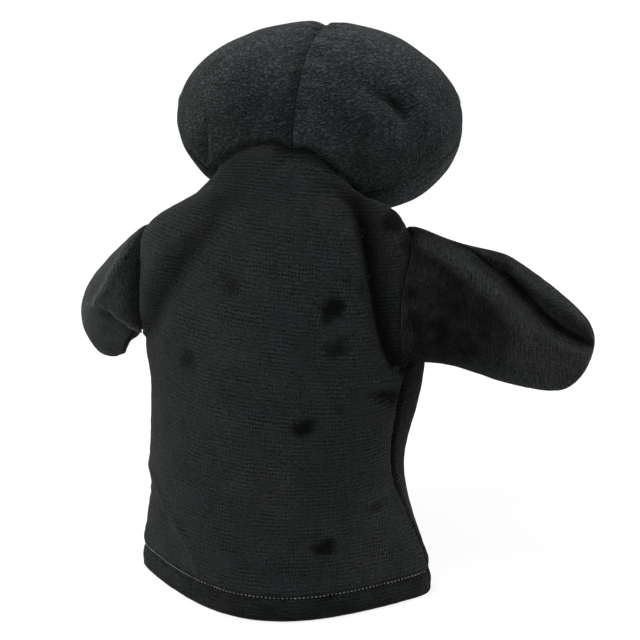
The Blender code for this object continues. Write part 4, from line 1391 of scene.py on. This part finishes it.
# Surroundings
def make_stage():
    half = 6.0
    corners = [(-half, -half, 0), (half, -half, 0), (half, half, 0), (-half, half, 0)]
    mesh = bpy.data.meshes.new("floor")
    mesh.from_pydata(corners, [], [(0, 1, 2, 3)])
    floor = bpy.data.objects.new("floor", mesh)
    bpy.context.scene.collection.objects.link(floor)
    n = new_material("floor_white")
    n.give("Base Color", (0.72, 0.72, 0.72, 1))
    n.give("Roughness", 0.9)
    n.give("Specular IOR Level", 0.1)
    glow = n.node("Emission", {"Color": (1, 1, 1, 1), "Strength": 1.16})
    mixed = n.node("MixShader", {0: n.times(n.seen(), 0.72), 1: n.shader.outputs[0], 2: glow})
    n.put(mixed, n.tree.nodes["Material Output"].inputs["Surface"])
    mesh.materials.append(n.owner)

    world = Nodes(bpy.data.worlds.new("studio"), "Background")
    bpy.context.scene.world = world.owner
    world.give("Color", (1, 1, 1, 1))
    world.give("Strength", world.remap(world.seen(), 0.0, 1.0, 0.20, 1.0))


def make_lamp(name, place, aim, size, power):
    data = bpy.data.lights.new(name, "AREA")
    data.shape = "RECTANGLE"
    data.size = size[0]
    data.size_y = size[1]
    data.energy = power
    lamp = bpy.data.objects.new(name, data)
    bpy.context.scene.collection.objects.link(lamp)
    lamp.location = place
    lamp.rotation_euler = (Vector(aim) - Vector(place)).to_track_quat("-Z", "Y").to_euler()


def make_camera():
    """The camera of the photograph, found from the outline of the puppet, 1.4 m away."""
    data = bpy.data.cameras.new("camera")
    data.sensor_width = 36.0
    data.lens = 187.5
    camera = bpy.data.objects.new("camera", data)
    bpy.context.scene.collection.objects.link(camera)
    turn = math.radians(CAMERA_TURN)
    rise = math.radians(CAMERA_RISE)
    look = Vector((math.sin(turn) * math.cos(rise), -math.cos(turn) * math.cos(rise), -math.sin(rise)))
    camera.location = Vector(HEM) + Vector(CAMERA_PLACE)
    camera.rotation_euler = look.to_track_quat("-Z", "Y").to_euler()
    bpy.context.scene.camera = camera


def make_head(materials):
    half = SEAM_GAP / 2
    neck = lambda p: neck_depth(p) - half
    above_face = lambda p: -face_depth(p) - half
    left = lambda p: p[..., 0] - CENTRE[0] - half
    right = lambda p: CENTRE[0] - p[..., 0] - half
    head_panel("head_left", "head_panel_left", (left, neck, above_face), materials, 1)
    head_panel("head_right", "head_panel_right", (right, neck, above_face), materials, 2)
    head_panel("face", "face_panel", (lambda p: face_depth(p) - half, neck), materials, 3)


def main():
    pile_body = plush("plush_body", (0.0203, 0.0225, 0.0226), 0.60, 0.50, 0.40)
    pile_arm = plush("plush_arm", (0.0264, 0.0298, 0.0282), 0.30, 0.60, 0.36)
    pile_head = plush("plush_head", (0.0262, 0.0314, 0.0326), 0.16, 0.70, 0.56, wavy=True)
    back = knit_back("cloth_back", (0.016, 0.017, 0.018))
    panels = make_tunic([pile_body, back])
    make_stitches(panels, thread_material())
    for arm in (
        ("arm_left_outer", "arm_left_back", 1, LEFT_ARM, LEFT_ARMHOLE, 1, 61),
        ("arm_left_inner", "arm_left_front", 1, LEFT_ARM, LEFT_ARMHOLE, -1, 66),
        ("arm_right_outer", "arm_right_back", -1, RIGHT_ARM, RIGHT_ARMHOLE, 1, 71),
        ("arm_right_inner", "arm_right_front", -1, RIGHT_ARM, RIGHT_ARMHOLE, -1, 76),
    ):
        make_arm(*arm, [pile_arm, back])
    make_head([pile_head, back])
    make_filling(fibre_material())
    make_finger_tube(lining_material())
    button = button_material()
    make_eye("button_left", "eye_left", 1, button)
    make_eye("button_right", "eye_right", -1, button)
    make_stage()
    aim = tuple(Vector(HEM) + Vector(LAMP_AIM))
    for name, place, size, power in LAMPS:
        make_lamp(name, place, aim, size, power)
    make_camera()
    bpy.context.scene.view_settings.view_transform = "Standard"


main()
